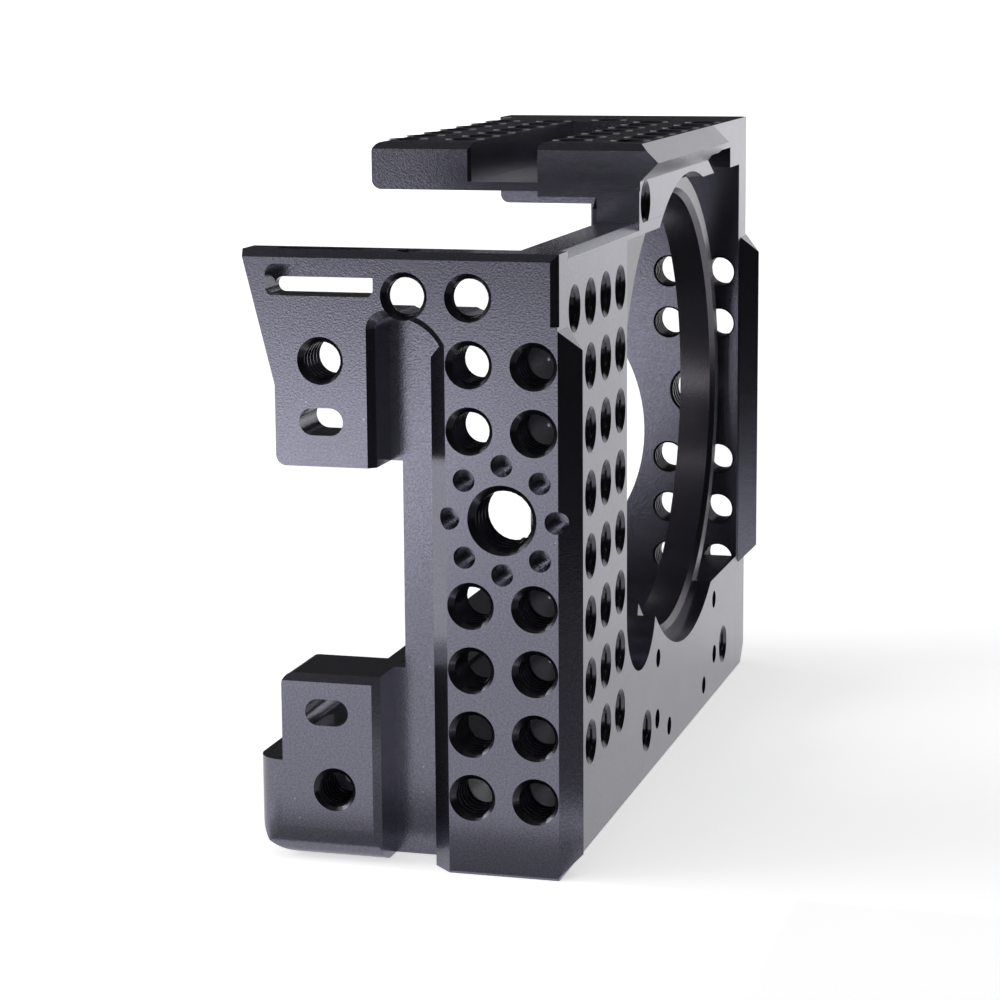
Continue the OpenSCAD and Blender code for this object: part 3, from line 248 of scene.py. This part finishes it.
def math_node(tree, operation, *values):
    """A Math node whose inputs are sockets or numbers; gives its output."""
    node = tree.nodes.new("ShaderNodeMath")
    node.operation = operation
    for socket, value in zip(node.inputs, values):
        feed(tree, value, socket)
    return node.outputs[0]


def noise(tree, vector, scale, detail):
    """A Noise node read at a vector; gives its factor."""
    node = tree.nodes.new("ShaderNodeTexNoise")
    node.inputs["Detail"].default_value = detail
    feed(tree, scale, node.inputs["Scale"])
    tree.links.new(vector, node.inputs["Vector"])
    return node.outputs["Fac"]


def blast_group():
    """Bead-blasted grain: fine speckle, a slow drift in tone and gloss, and a pitted height."""
    group, ends, out = new_group(
        "Bead blast",
        {"Grain Scale": 3600.0, "Speckle": 0.5, "Drift": 0.06, "Roughness": 0.36, "Roughness Spread": 0.05},
        ("Tone", "Roughness", "Height"))
    place = group.nodes.new("ShaderNodeTexCoord").outputs["Object"]
    grain = noise(group, place, ends.outputs["Grain Scale"], detail=2.0)
    drift = noise(group, place, scale=38.0, detail=3.0)
    smudge = noise(group, place, scale=140.0, detail=4.0)
    speckle = math_node(group, "MULTIPLY", math_node(group, "SUBTRACT", grain, 0.5), ends.outputs["Speckle"])
    slow = math_node(group, "MULTIPLY", math_node(group, "SUBTRACT", drift, 0.5), ends.outputs["Drift"])
    tone = math_node(group, "ADD", math_node(group, "MULTIPLY_ADD", speckle, 2.0, slow), 1.0)
    rough = math_node(group, "MULTIPLY_ADD", math_node(group, "SUBTRACT", smudge, 0.5),
                      ends.outputs["Roughness Spread"], ends.outputs["Roughness"])
    group.links.new(tone, out.inputs["Tone"])
    group.links.new(rough, out.inputs["Roughness"])
    group.links.new(grain, out.inputs["Height"])
    return group


def turned_group():
    """Lathe rings round the camera screw's axis, which stands along Z."""
    group, ends, out = new_group("Turned rings", {"Rings": 9000.0, "Strength": 0.3}, ("Tone", "Height"))
    place = group.nodes.new("ShaderNodeTexCoord").outputs["Object"]
    shift = group.nodes.new("ShaderNodeMapping")
    shift.inputs["Location"].default_value = (-LENS_X, -BASE_MIDDLE, 0)
    group.links.new(place, shift.inputs["Vector"])
    split = group.nodes.new("ShaderNodeSeparateXYZ")
    group.links.new(shift.outputs[0], split.inputs[0])
    radius = math_node(group, "SQRT", math_node(
        group, "MULTIPLY_ADD", split.outputs[0], split.outputs[0],
        math_node(group, "MULTIPLY", split.outputs[1], split.outputs[1])))
    wave = math_node(group, "SINE", math_node(group, "MULTIPLY", radius, ends.outputs["Rings"]))
    uneven = noise(group, place, scale=900.0, detail=2.0)
    mixed = math_node(group, "MULTIPLY", wave, uneven)
    group.links.new(math_node(group, "MULTIPLY_ADD", mixed, ends.outputs["Strength"], 1.0), out.inputs["Tone"])
    group.links.new(mixed, out.inputs["Height"])
    return group


def dust_group():
    """Rare pale specks: a mask of small round dots, uneven in size."""
    group, ends, out = new_group("Dust", {"Scale": 420.0, "Size": 0.045}, ("Mask",))
    place = group.nodes.new("ShaderNodeTexCoord").outputs["Object"]
    cells = group.nodes.new("ShaderNodeTexVoronoi")
    group.links.new(place, cells.inputs["Vector"])
    group.links.new(ends.outputs["Scale"], cells.inputs["Scale"])
    patch = noise(group, place, scale=55.0, detail=2.0)
    near = math_node(group, "LESS_THAN", cells.outputs["Distance"], ends.outputs["Size"])
    some = math_node(group, "GREATER_THAN", patch, 0.6)
    group.links.new(math_node(group, "MULTIPLY", near, some), out.inputs["Mask"])
    return group


def shared_group(name, build):
    """The node group of that name, built the first time it is asked for."""
    return bpy.data.node_groups.get(name) or build()


def place_group(tree, group, **values):
    """A group node in a material, with its named inputs set."""
    node = tree.nodes.new("ShaderNodeGroup")
    node.node_tree = group
    for label, value in values.items():
        node.inputs[label.replace("_", " ")].default_value = value
    return node


def tinted(tree, colour, tone):
    """A colour multiplied by a tone socket; gives its output."""
    mix = tree.nodes.new("ShaderNodeMix")
    mix.data_type = "RGBA"
    mix.blend_type = "MULTIPLY"
    mix.inputs["Factor"].default_value = 1.0
    mix.inputs[MIX_A].default_value = (*colour, 1)
    tree.links.new(tone, mix.inputs[MIX_B])
    return mix.outputs[MIX_RESULT]


def with_dust(tree, colour, amount):
    """Pale specks over a colour socket; gives its output."""
    dust = place_group(tree, shared_group("Dust", dust_group))
    mix = tree.nodes.new("ShaderNodeMix")
    mix.data_type = "RGBA"
    tree.links.new(math_node(tree, "MULTIPLY", dust.outputs["Mask"], amount), mix.inputs["Factor"])
    tree.links.new(colour, mix.inputs[MIX_A])
    mix.inputs[MIX_B].default_value = DUST_GREY
    return mix.outputs[MIX_RESULT]


def bump(tree, height, strength, distance):
    """A Bump node; gives its normal."""
    node = tree.nodes.new("ShaderNodeBump")
    node.inputs["Strength"].default_value = strength
    node.inputs["Distance"].default_value = distance
    tree.links.new(height, node.inputs["Height"])
    return node.outputs["Normal"]


def new_material(name):
    """A material with one Principled shader; gives the material, its tree and the shader."""
    material = bpy.data.materials.new(name)
    material.use_nodes = True
    tree = material.node_tree
    return material, tree, tree.nodes["Principled BSDF"]


def blasted_metal(name, colour, roughness, metallic=0.95, speckle=0.5, dust=0.5):
    """Bead-blasted anodised aluminium."""
    material, tree, shader = new_material(name)
    blast = place_group(tree, shared_group("Bead blast", blast_group),
                        Speckle=speckle, Roughness=roughness)
    coloured = tinted(tree, colour, blast.outputs["Tone"])
    tree.links.new(with_dust(tree, coloured, dust), shader.inputs["Base Color"])
    tree.links.new(blast.outputs["Roughness"], shader.inputs["Roughness"])
    normal = bump(tree, blast.outputs["Height"], strength=0.3, distance=0.05 * MM)
    tree.links.new(normal, shader.inputs["Normal"])
    shader.inputs["Metallic"].default_value = metallic
    return material


def turned_metal(name, colour, roughness):
    """Lathe-turned steel with fine rings."""
    material, tree, shader = new_material(name)
    rings = place_group(tree, shared_group("Turned rings", turned_group))
    blast = place_group(tree, shared_group("Bead blast", blast_group),
                        Roughness=roughness, Speckle=0.05, Roughness_Spread=0.12)
    tree.links.new(tinted(tree, colour, rings.outputs["Tone"]), shader.inputs["Base Color"])
    tree.links.new(blast.outputs["Roughness"], shader.inputs["Roughness"])
    normal = bump(tree, rings.outputs["Height"], strength=0.25, distance=0.03 * MM)
    tree.links.new(normal, shader.inputs["Normal"])
    shader.inputs["Metallic"].default_value = 1.0
    return material


def moulded(name, colour, roughness, grain, specular=0.5):
    """Moulded rubber or nylon with a fine grain."""
    material, tree, shader = new_material(name)
    blast = place_group(tree, shared_group("Bead blast", blast_group),
                        Grain_Scale=grain, Roughness=roughness, Speckle=0.2, Roughness_Spread=0.15)
    tree.links.new(tinted(tree, colour, blast.outputs["Tone"]), shader.inputs["Base Color"])
    tree.links.new(blast.outputs["Roughness"], shader.inputs["Roughness"])
    normal = bump(tree, blast.outputs["Height"], strength=0.5, distance=0.1 * MM)
    tree.links.new(normal, shader.inputs["Normal"])
    shader.inputs["Specular IOR Level"].default_value = specular
    return material


def dress(node, material):
    """Gives a CAD node's object one material."""
    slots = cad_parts[node].data.materials
    slots.clear()
    slots.append(material)


def finish_piece(bm, name, material, body="cage", smooth_below=25):
    """Turns a bmesh into a named object that rides on a body, with edges sharper than an angle in degrees kept."""
    mesh = bpy.data.meshes.new(name)
    bm.to_mesh(mesh)
    bm.free()
    piece = bpy.data.objects.new(name, mesh)
    bpy.context.scene.collection.objects.link(piece)
    mesh.materials.append(material)
    mesh.shade_smooth()
    mesh.set_sharp_from_angle(angle=math.radians(smooth_below))
    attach(piece, body)


def stand(point, inward):
    """The place of a hole whose mouth is at a point and whose axis runs inward."""
    return Matrix.Translation(point) @ inward.to_track_quat("Z", "Y").to_matrix().to_4x4()


# Threads, drill points and the camera screw


def spin_profile(bm, points, climb, steps):
    """Sweeps radius and height pairs once round Z while they climb; without a climb the sweep closes."""
    verts = [bm.verts.new((r, 0, z)) for r, z in points]
    edges = [bm.edges.new(pair) for pair in zip(verts, verts[1:])]
    bmesh.ops.spin(bm, geom=verts + edges, cent=(0, 0, 0), axis=(0, 0, 1), dvec=(0, 0, climb / steps),
                   angle=FULL_TURN, steps=steps, use_merge=climb == 0, use_duplicate=False)
    bmesh.ops.remove_doubles(bm, verts=bm.verts[:], dist=WELD)


def cut_ends(bm, low, high):
    """Cuts away what lies below one height and above another."""
    for height, side in ((low, -1), (high, 1)):
        bmesh.ops.bisect_plane(bm, geom=bm.verts[:] + bm.edges[:] + bm.faces[:], dist=CUT_TOLERANCE,
                               plane_co=(0, 0, height), plane_no=(0, 0, side), clear_outer=True)


def turn_faces(bm, outward):
    """Makes the faces look away from Z or toward it."""
    bmesh.ops.recalc_face_normals(bm, faces=bm.faces[:])
    away = sum(f.normal.dot(Vector((*f.calc_center_median().xy, 0))) for f in bm.faces)
    if (away > 0) != outward:
        bmesh.ops.reverse_faces(bm, faces=bm.faces[:])


def thread_form(bm, wall_r, crest_r, mouth_r, lead, depth, facets):
    """One internal thread along +Z from the origin: helical flanks, cut square at its end, countersunk at its mouth."""
    root_r = wall_r - ROOT_SINK
    quarter = lead / 4
    points = []
    start = -lead
    while start < depth + lead:
        points += [(root_r, start), (root_r, start + quarter * ROOT_END),
                   (crest_r, start + quarter * CREST_START), (crest_r, start + quarter * CREST_END)]
        start += lead
    points.append((root_r, start))
    spin_profile(bm, points, lead, facets)
    mouth = mouth_r - MOUTH_SINK
    begin = mouth - crest_r
    cut_ends(bm, begin, depth)
    rim = [e for e in bm.edges if e.is_boundary and all(abs(v.co.z - begin) < WELD for v in e.verts)]
    for radius in (wall_r, mouth):
        grown = bmesh.ops.extrude_edge_only(bm, edges=rim)["geom"]
        for v in (g for g in grown if isinstance(g, bmesh.types.BMVert)):
            flat = Vector((v.co.x, v.co.y, 0)).normalized() * radius
            v.co = (flat.x, flat.y, mouth - radius)
        rim = [g for g in grown if isinstance(g, bmesh.types.BMEdge)]
    turn_faces(bm, outward=False)


def point_form(bm, wall_r, depth, slope, tip_r):
    """The cone that a drill leaves at the end of a blind hole, with the small step its tip makes."""
    tip = depth + (wall_r - tip_r) * slope
    points = [(wall_r, depth), (wall_r * BAND, depth + wall_r * (1 - BAND) * slope), (tip_r, tip),
              (tip_r * STEP_R, tip - tip_r * STEP_RISE), (0, tip - tip_r * MIDDLE_RISE)]
    spin_profile(bm, points, 0, DRILL_STEPS)
    bmesh.ops.recalc_face_normals(bm, faces=bm.faces[:])
    if sum(f.normal.z for f in bm.faces) > 0:
        bmesh.ops.reverse_faces(bm, faces=bm.faces[:])


def helix_form(bm, profile, lead, facets, low, high):
    """A helical ridge round Z, its profile given in millimetres, cut square at both ends."""
    start = low - 2 * lead
    points = []
    while start < high + lead:
        points += [(r * MM, start + z * MM) for r, z in profile]
        start += lead
    spin_profile(bm, points, lead, facets)
    cut_ends(bm, low, high)
    turn_faces(bm, outward=True)


def knurl_form(bm, valley_r, peak_r, teeth, low, high):
    """A closed disc whose rim is cut into straight teeth."""
    ring = []
    for i in range(teeth * 2):
        angle = FULL_TURN * i / (teeth * 2)
        radius = peak_r if i % 2 else valley_r
        ring.append(bm.verts.new((radius * math.cos(angle), radius * math.sin(angle), low)))
    base = bm.faces.new(ring)
    grown = bmesh.ops.extrude_face_region(bm, geom=[base])["geom"]
    bmesh.ops.translate(bm, verts=[g for g in grown if isinstance(g, bmesh.types.BMVert)], vec=(0, 0, high - low))
    bmesh.ops.recalc_face_normals(bm, faces=bm.faces[:])


def hole_set(name, build, form, holes, material):
    """A form that is built once and repeated at every hole, as one object."""
    bm = bmesh.new()
    build(bm, *form)
    master = bm.verts[:] + bm.edges[:] + bm.faces[:]
    for point, inward in holes:
        copied = bmesh.ops.duplicate(bm, geom=master)["geom"]
        verts = [g for g in copied if isinstance(g, bmesh.types.BMVert)]
        bmesh.ops.transform(bm, matrix=stand(point, inward), verts=verts)
    bmesh.ops.delete(bm, geom=[g for g in master if isinstance(g, bmesh.types.BMVert)], context="VERTS")
    finish_piece(bm, name, material)


def thread_metal(context):
    """The darker, smoother anodised finish inside a cut thread."""
    tones = context.scene.cage_finish
    return bpy.data.materials.get("cut_thread") or blasted_metal(
        "cut_thread", tones.thread, roughness=0.2, speckle=0.03, dust=0.0)


def quarter_threads(context, name, holes):
    """Quarter-inch threads of one kind, as deep as THREAD_DEPTHS says."""
    sizes = context.scene.cage_holes
    form = (sizes.wall_r, sizes.crest_r, sizes.mouth_r, sizes.lead, THREAD_DEPTHS[name] * MM, sizes.facets)
    hole_set(name, thread_form, form, holes, thread_metal(context))


def large_threads(context, name, holes):
    """Three-eighths threads of one kind, as deep as THREAD_DEPTHS says."""
    sizes = context.scene.cage_holes
    form = (sizes.large_wall_r, sizes.large_crest_r, sizes.large_mouth_r, sizes.large_lead,
            THREAD_DEPTHS[name] * MM, sizes.facets)
    hole_set(name, thread_form, form, holes, thread_metal(context))


def side_rows(sizes):
    """Heights of the rows of through holes in the two sides."""
    above = [sizes.first_row + sizes.pitch, sizes.first_row]
    below = [-sizes.first_row - i * sizes.pitch for i in range(3)]
    return above + below


class CAGE_OT_finishes(Operator):
    """Give every milled piece, screw, pad and clip its finish"""

    bl_idname = "cage.finishes"
    bl_label = "Finishes"

    def execute(self, context):
        tones = context.scene.cage_finish
        rough = tones.blast_gloss
        body = blasted_metal("anodised", tones.anodised, rough)
        warm = blasted_metal("anodised_warm", tones.anodised_warm, roughness=rough + 0.04)
        oxide = blasted_metal("black_oxide", tones.oxide, roughness=0.3, metallic=1.0, speckle=0.05)
        steel = turned_metal("turned_steel", tones.steel, roughness=0.26)
        clip = turned_metal("plain_steel", tones.clip, roughness=0.34)
        for node in ("near_side", "front_plate", "top_rail", "top_plate", "far_side", "base_plate"):
            dress(node, body)
        dress("lens_plate", warm)
        for node in ("near_screws", "rail_screws", "bar_screws", "far_screws", "base_front_screws",
                     "base_near_screws", "lens_plate_screws"):
            dress(node, oxide)
        dress("camera_screw", steel)
        dress("screw_clip", clip)
        dress("dowel_pins", clip)
        dress("screw_washer", moulded("nylon", tones.nylon, roughness=0.5, grain=2600.0))
        rubber = moulded("rubber", tones.rubber, roughness=0.8, grain=1500.0, specular=0.15)
        dress("base_pads", rubber)
        dress("top_pads", rubber)
        return {"FINISHED"}


class CAGE_OT_near_threads(Operator):
    """Cut the threads of the near side"""

    bl_idname = "cage.near_threads"
    bl_label = "Near side threads"

    def execute(self, context):
        sizes = context.scene.cage_holes
        half = sizes.pitch / 2
        holes = [(Vector((0, half, z)), X) for z in side_rows(sizes)]
        holes.append((EAR_HOLE, X))
        quarter_threads(context, "near_through_threads", holes)
        top = sizes.first_row + 2 * sizes.pitch
        pair = [(Vector((0, half + i * sizes.pitch, top)), X) for i in range(2)]
        quarter_threads(context, "near_edge_threads", pair)
        rows = side_rows(sizes) + [-sizes.first_row - 3 * sizes.pitch]
        blind = [(Vector((0, -half, z)), X) for z in rows]
        blind.append((Vector((0, half, rows[-1])), X))
        quarter_threads(context, "near_blind_threads", blind)
        tones = context.scene.cage_finish
        depth, tip_r = NEAR_POINT
        form = (sizes.wall_r - ROOT_SINK, depth, DRILL_SLOPE, tip_r)
        coated = blasted_metal("drilled", tones.drilled, roughness=0.3, metallic=0.5, speckle=0.1, dust=0.0)
        hole_set("near_drill_points", point_form, form, blind[:-1], coated)
        raw = blasted_metal("drilled_raw", tones.raw, roughness=0.4, metallic=0.3, speckle=0.1, dust=0.0)
        hole_set("raw_drill_point", point_form, form, blind[-1:], raw)
        corner = [(CORNER_HOLE, X)]
        hole_set("corner_thread", thread_form, (*CORNER_THREAD, sizes.facets), corner, thread_metal(context))
        hole_set("corner_drill_point", point_form, CORNER_POINT, corner, raw)
        return {"FINISHED"}


class CAGE_OT_front_threads(Operator):
    """Cut the threads of the front plate's hole grid and its two rod threads"""

    bl_idname = "cage.front_threads"
    bl_label = "Front threads"

    def execute(self, context):
        pitch = context.scene.cage_holes.pitch
        rows = [FRONT_GRID_TOP - k * pitch for k in range(8)]
        columns = [FRONT_GRID_X + i * pitch for i in range(4)]
        holes = [(Vector((columns[0], FRONT_FACE, rows[0])), Y), (LIP_HOLE, Y)]
        holes += [(Vector((x, FRONT_FACE, z)), Y) for x in columns[1:] for z in rows]
        quarter_threads(context, "front_grid_threads", holes)
        rods = [(Vector((LENS_X + s * ROD_HALF, FRONT_FACE, ROD_HEIGHT)), Y) for s in (-1, 1)]
        quarter_threads(context, "rod_threads", rods)
        return {"FINISHED"}


class CAGE_OT_top_threads(Operator):
    """Cut the threads of the two top bars"""

    bl_idname = "cage.top_threads"
    bl_label = "Top threads"

    def execute(self, context):
        pitch = context.scene.cage_holes.pitch
        columns = [TOP_GRID_X + i * pitch for i in range(7)]
        rows = [middle + side * pitch / 2 for middle in (0, BAR_MIDDLE) for side in (-1, 1)]
        holes = [(Vector((x, y, TOP)), -Z) for x in columns for y in rows]
        holes.append((TOP_PLATE_HOLE, -Z))
        quarter_threads(context, "top_threads", holes)
        return {"FINISHED"}


class CAGE_OT_far_threads(Operator):
    """Cut the threads of the far side and of the base"""

    bl_idname = "cage.far_threads"
    bl_label = "Far side and base threads"

    def execute(self, context):
        sizes = context.scene.cage_holes
        half = sizes.pitch / 2
        holes = [(Vector((CAGE_LENGTH, y, z)), -X) for y in (-half, half) for z in side_rows(sizes)]
        quarter_threads(context, "far_threads", holes)
        base = [(Vector((BASE_GRID_X + i * sizes.pitch, BASE_MIDDLE, UNDERSIDE)), Z) for i in range(3)]
        quarter_threads(context, "base_threads", base)
        return {"FINISHED"}


class CAGE_OT_large_threads(Operator):
    """Cut the three large threads"""

    bl_idname = "cage.large_threads"
    bl_label = "Large threads"

    def execute(self, context):
        sides = [(Vector((0, 0, 0)), X), (Vector((CAGE_LENGTH, 0, 0)), -X)]
        large_threads(context, "side_large_threads", sides)
        large_threads(context, "base_large_thread", [(BASE_LARGE_HOLE, Z)])
        return {"FINISHED"}


class CAGE_OT_screw_details(Operator):
    """Cut the camera screw's thread and the knurl round its head"""

    bl_idname = "cage.screw_details"
    bl_label = "Camera screw details"

    def execute(self, context):
        sizes = context.scene.cage_holes
        steel = bpy.data.materials["turned_steel"]
        axis = Vector((LENS_X, BASE_MIDDLE, 0))
        bm = bmesh.new()
        helix_form(bm, SCREW_PROFILE, sizes.lead, sizes.facets, *SCREW_THREAD_ENDS)
        bmesh.ops.translate(bm, verts=bm.verts[:], vec=axis)
        finish_piece(bm, "camera_screw_thread", steel, body="screw")
        bm = bmesh.new()
        knurl_form(bm, *KNURL_RADII, KNURL_TEETH, *KNURL_ENDS)
        bmesh.ops.translate(bm, verts=bm.verts[:], vec=axis)
        finish_piece(bm, "camera_screw_knurl", steel, body="screw", smooth_below=10)
        return {"FINISHED"}


class CAGE_OT_studio(Operator):
    """Set up the camera, the floor, the lamps and the world"""

    bl_idname = "cage.studio"
    bl_label = "Studio"

    def execute(self, context):
        studio = context.scene.cage_studio
        add_camera(context, studio)
        add_floor(context, studio)
        for name, place, size, glossy in LAMPS:
            add_lamp(context, name, place, size, getattr(studio, name)).visible_glossy = glossy
        for card in CARDS:
            add_card(context, *card)
        add_world(context, studio)
        context.scene.view_settings.view_transform = "Standard"
        return {"FINISHED"}


def add_camera(context, studio):
    """The camera at the photograph's place."""
    lens = bpy.data.cameras.new("camera")
    lens.lens = studio.lens
    lens.sensor_width = SENSOR
    lens.clip_start = 0.01
    camera = bpy.data.objects.new("camera", lens)
    camera.location = studio.eye
    camera.rotation_euler = studio.turn
    context.scene.collection.objects.link(camera)
    context.scene.camera = camera


def seen_factor(tree):
    """1 for the rays that see the background: camera, glossy and transmission."""
    path = tree.nodes.new("ShaderNodeLightPath").outputs
    first = math_node(tree, "MAXIMUM", path["Is Camera Ray"], path["Is Glossy Ray"])
    return math_node(tree, "MAXIMUM", first, path["Is Transmission Ray"])


def add_sheet(context, name, half, matrix, material_name, shade):
    """A flat matt sheet of the studio; gives its object, its material's node tree and its shader."""
    bm = bmesh.new()
    bmesh.ops.create_grid(bm, x_segments=1, y_segments=1, size=half)
    bmesh.ops.transform(bm, matrix=matrix, verts=bm.verts[:])
    mesh = bpy.data.meshes.new(name)
    bm.to_mesh(mesh)
    bm.free()
    sheet = bpy.data.objects.new(name, mesh)
    context.scene.collection.objects.link(sheet)
    material, tree, shader = new_material(material_name)
    shader.inputs["Base Color"].default_value = (shade, shade, shade, 1)
    shader.inputs["Roughness"].default_value = 1.0
    shader.inputs["Emission Color"].default_value = WHITE
    mesh.materials.append(material)
    return sheet, tree, shader


def add_floor(context, studio):
    """A plain white floor that keeps the object's shadow."""
    floor, tree, shader = add_sheet(context, "floor", studio.floor_size, Matrix.Identity(4), "floor_white",
                                    studio.floor_white)
    floor.location.z = CAD_BOX[0][2]
    shader.inputs["Specular IOR Level"].default_value = 0.0
    place = tree.nodes.new("ShaderNodeTexCoord").outputs["Object"]
    away = tree.nodes.new("ShaderNodeVectorMath")
    away.operation = "LENGTH"
    tree.links.new(place, away.inputs[0])
    fade = tree.nodes.new("ShaderNodeMapRange")
    fade.interpolation_type = "SMOOTHSTEP"
    tree.links.new(away.outputs["Value"], fade.inputs["Value"])
    reach = {"From Min": GLOW_NEAR, "From Max": GLOW_FAR, "To Min": studio.floor_glow, "To Max": 1.0}
    for label, value in reach.items():
        fade.inputs[label].default_value = value
    glow = math_node(tree, "MULTIPLY", seen_factor(tree), fade.outputs["Result"])
    tree.links.new(glow, shader.inputs["Emission Strength"])


def add_lamp(context, name, place, size, power):
    """A soft square lamp that looks at the middle of the cage."""
    data = bpy.data.lights.new(name, "AREA")
    data.size = size
    data.energy = power
    lamp = bpy.data.objects.new(name, data)
    lamp.location = place
    low, high = (Vector(corner) for corner in CAD_BOX)
    aim = (low + high) / 2 - Vector(place)
    lamp.rotation_euler = aim.to_track_quat("-Z", "Y").to_euler()
    context.scene.collection.objects.link(lamp)
    return lamp


def add_card(context, name, place, width, height, facing, shade, glow):
    """A dark or glowing card out of the camera's sight, which only the reflections and the fill light meet."""
    turn = Matrix.Rotation(QUARTER_TURN, 4, "Z") if facing == "X" else Matrix.Identity(4)
    tilt = Matrix.Identity(4) if facing == "Z" else Matrix.Rotation(QUARTER_TURN, 4, "X")
    scale = Matrix.Diagonal((width, height, 1, 1))
    matrix = Matrix.Translation(place) @ turn @ tilt @ scale
    card, _, shader = add_sheet(context, name, 0.5, matrix, name, shade)
    card.visible_camera = False
    card.visible_shadow = False
    shader.inputs["Emission Strength"].default_value = glow


def add_world(context, studio):
    """A white surround for what sees it and an even fill for what it lights."""
    world = bpy.data.worlds.new("studio")
    world.use_nodes = True
    tree = world.node_tree
    background = tree.nodes["Background"]
    background.inputs["Color"].default_value = WHITE
    seen = seen_factor(tree)
    level = math_node(tree, "MULTIPLY_ADD", seen, 1 - studio.sky, studio.sky)
    tree.links.new(level, background.inputs["Strength"])
    context.scene.world = world


STEPS = ("studio", "finishes", "near_threads", "front_threads", "top_threads", "far_threads", "large_threads",
         "screw_details")


class CAGE_PT_looks(Panel):
    """The steps that dress the cage"""

    bl_idname = "CAGE_PT_looks"
    bl_label = "Camera cage"
    bl_space_type = "VIEW_3D"
    bl_region_type = "UI"
    bl_category = "Cage"

    def draw(self, context):
        for step in STEPS:
            self.layout.operator("cage." + step)


CLASSES = (HoleSizes, FinishColours, StudioSettings, CAGE_OT_finishes, CAGE_OT_near_threads, CAGE_OT_front_threads,
           CAGE_OT_top_threads, CAGE_OT_far_threads, CAGE_OT_large_threads, CAGE_OT_screw_details, CAGE_OT_studio,
           CAGE_PT_looks)


def register():
    """Registers the classes and hangs the settings on the scene."""
    for cls in CLASSES:
        bpy.utils.register_class(cls)
    bpy.types.Scene.cage_holes = PointerProperty(type=HoleSizes)
    bpy.types.Scene.cage_finish = PointerProperty(type=FinishColours)
    bpy.types.Scene.cage_studio = PointerProperty(type=StudioSettings)


def unregister():
    """Takes the settings and the classes away again."""
    del bpy.types.Scene.cage_studio
    del bpy.types.Scene.cage_finish
    del bpy.types.Scene.cage_holes
    for cls in reversed(CLASSES):
        bpy.utils.unregister_class(cls)


def main():
    """Dresses the frame step by step."""
    register()
    for step in STEPS:
        getattr(bpy.ops.cage, step)()


if __name__ == "__main__":
    main()
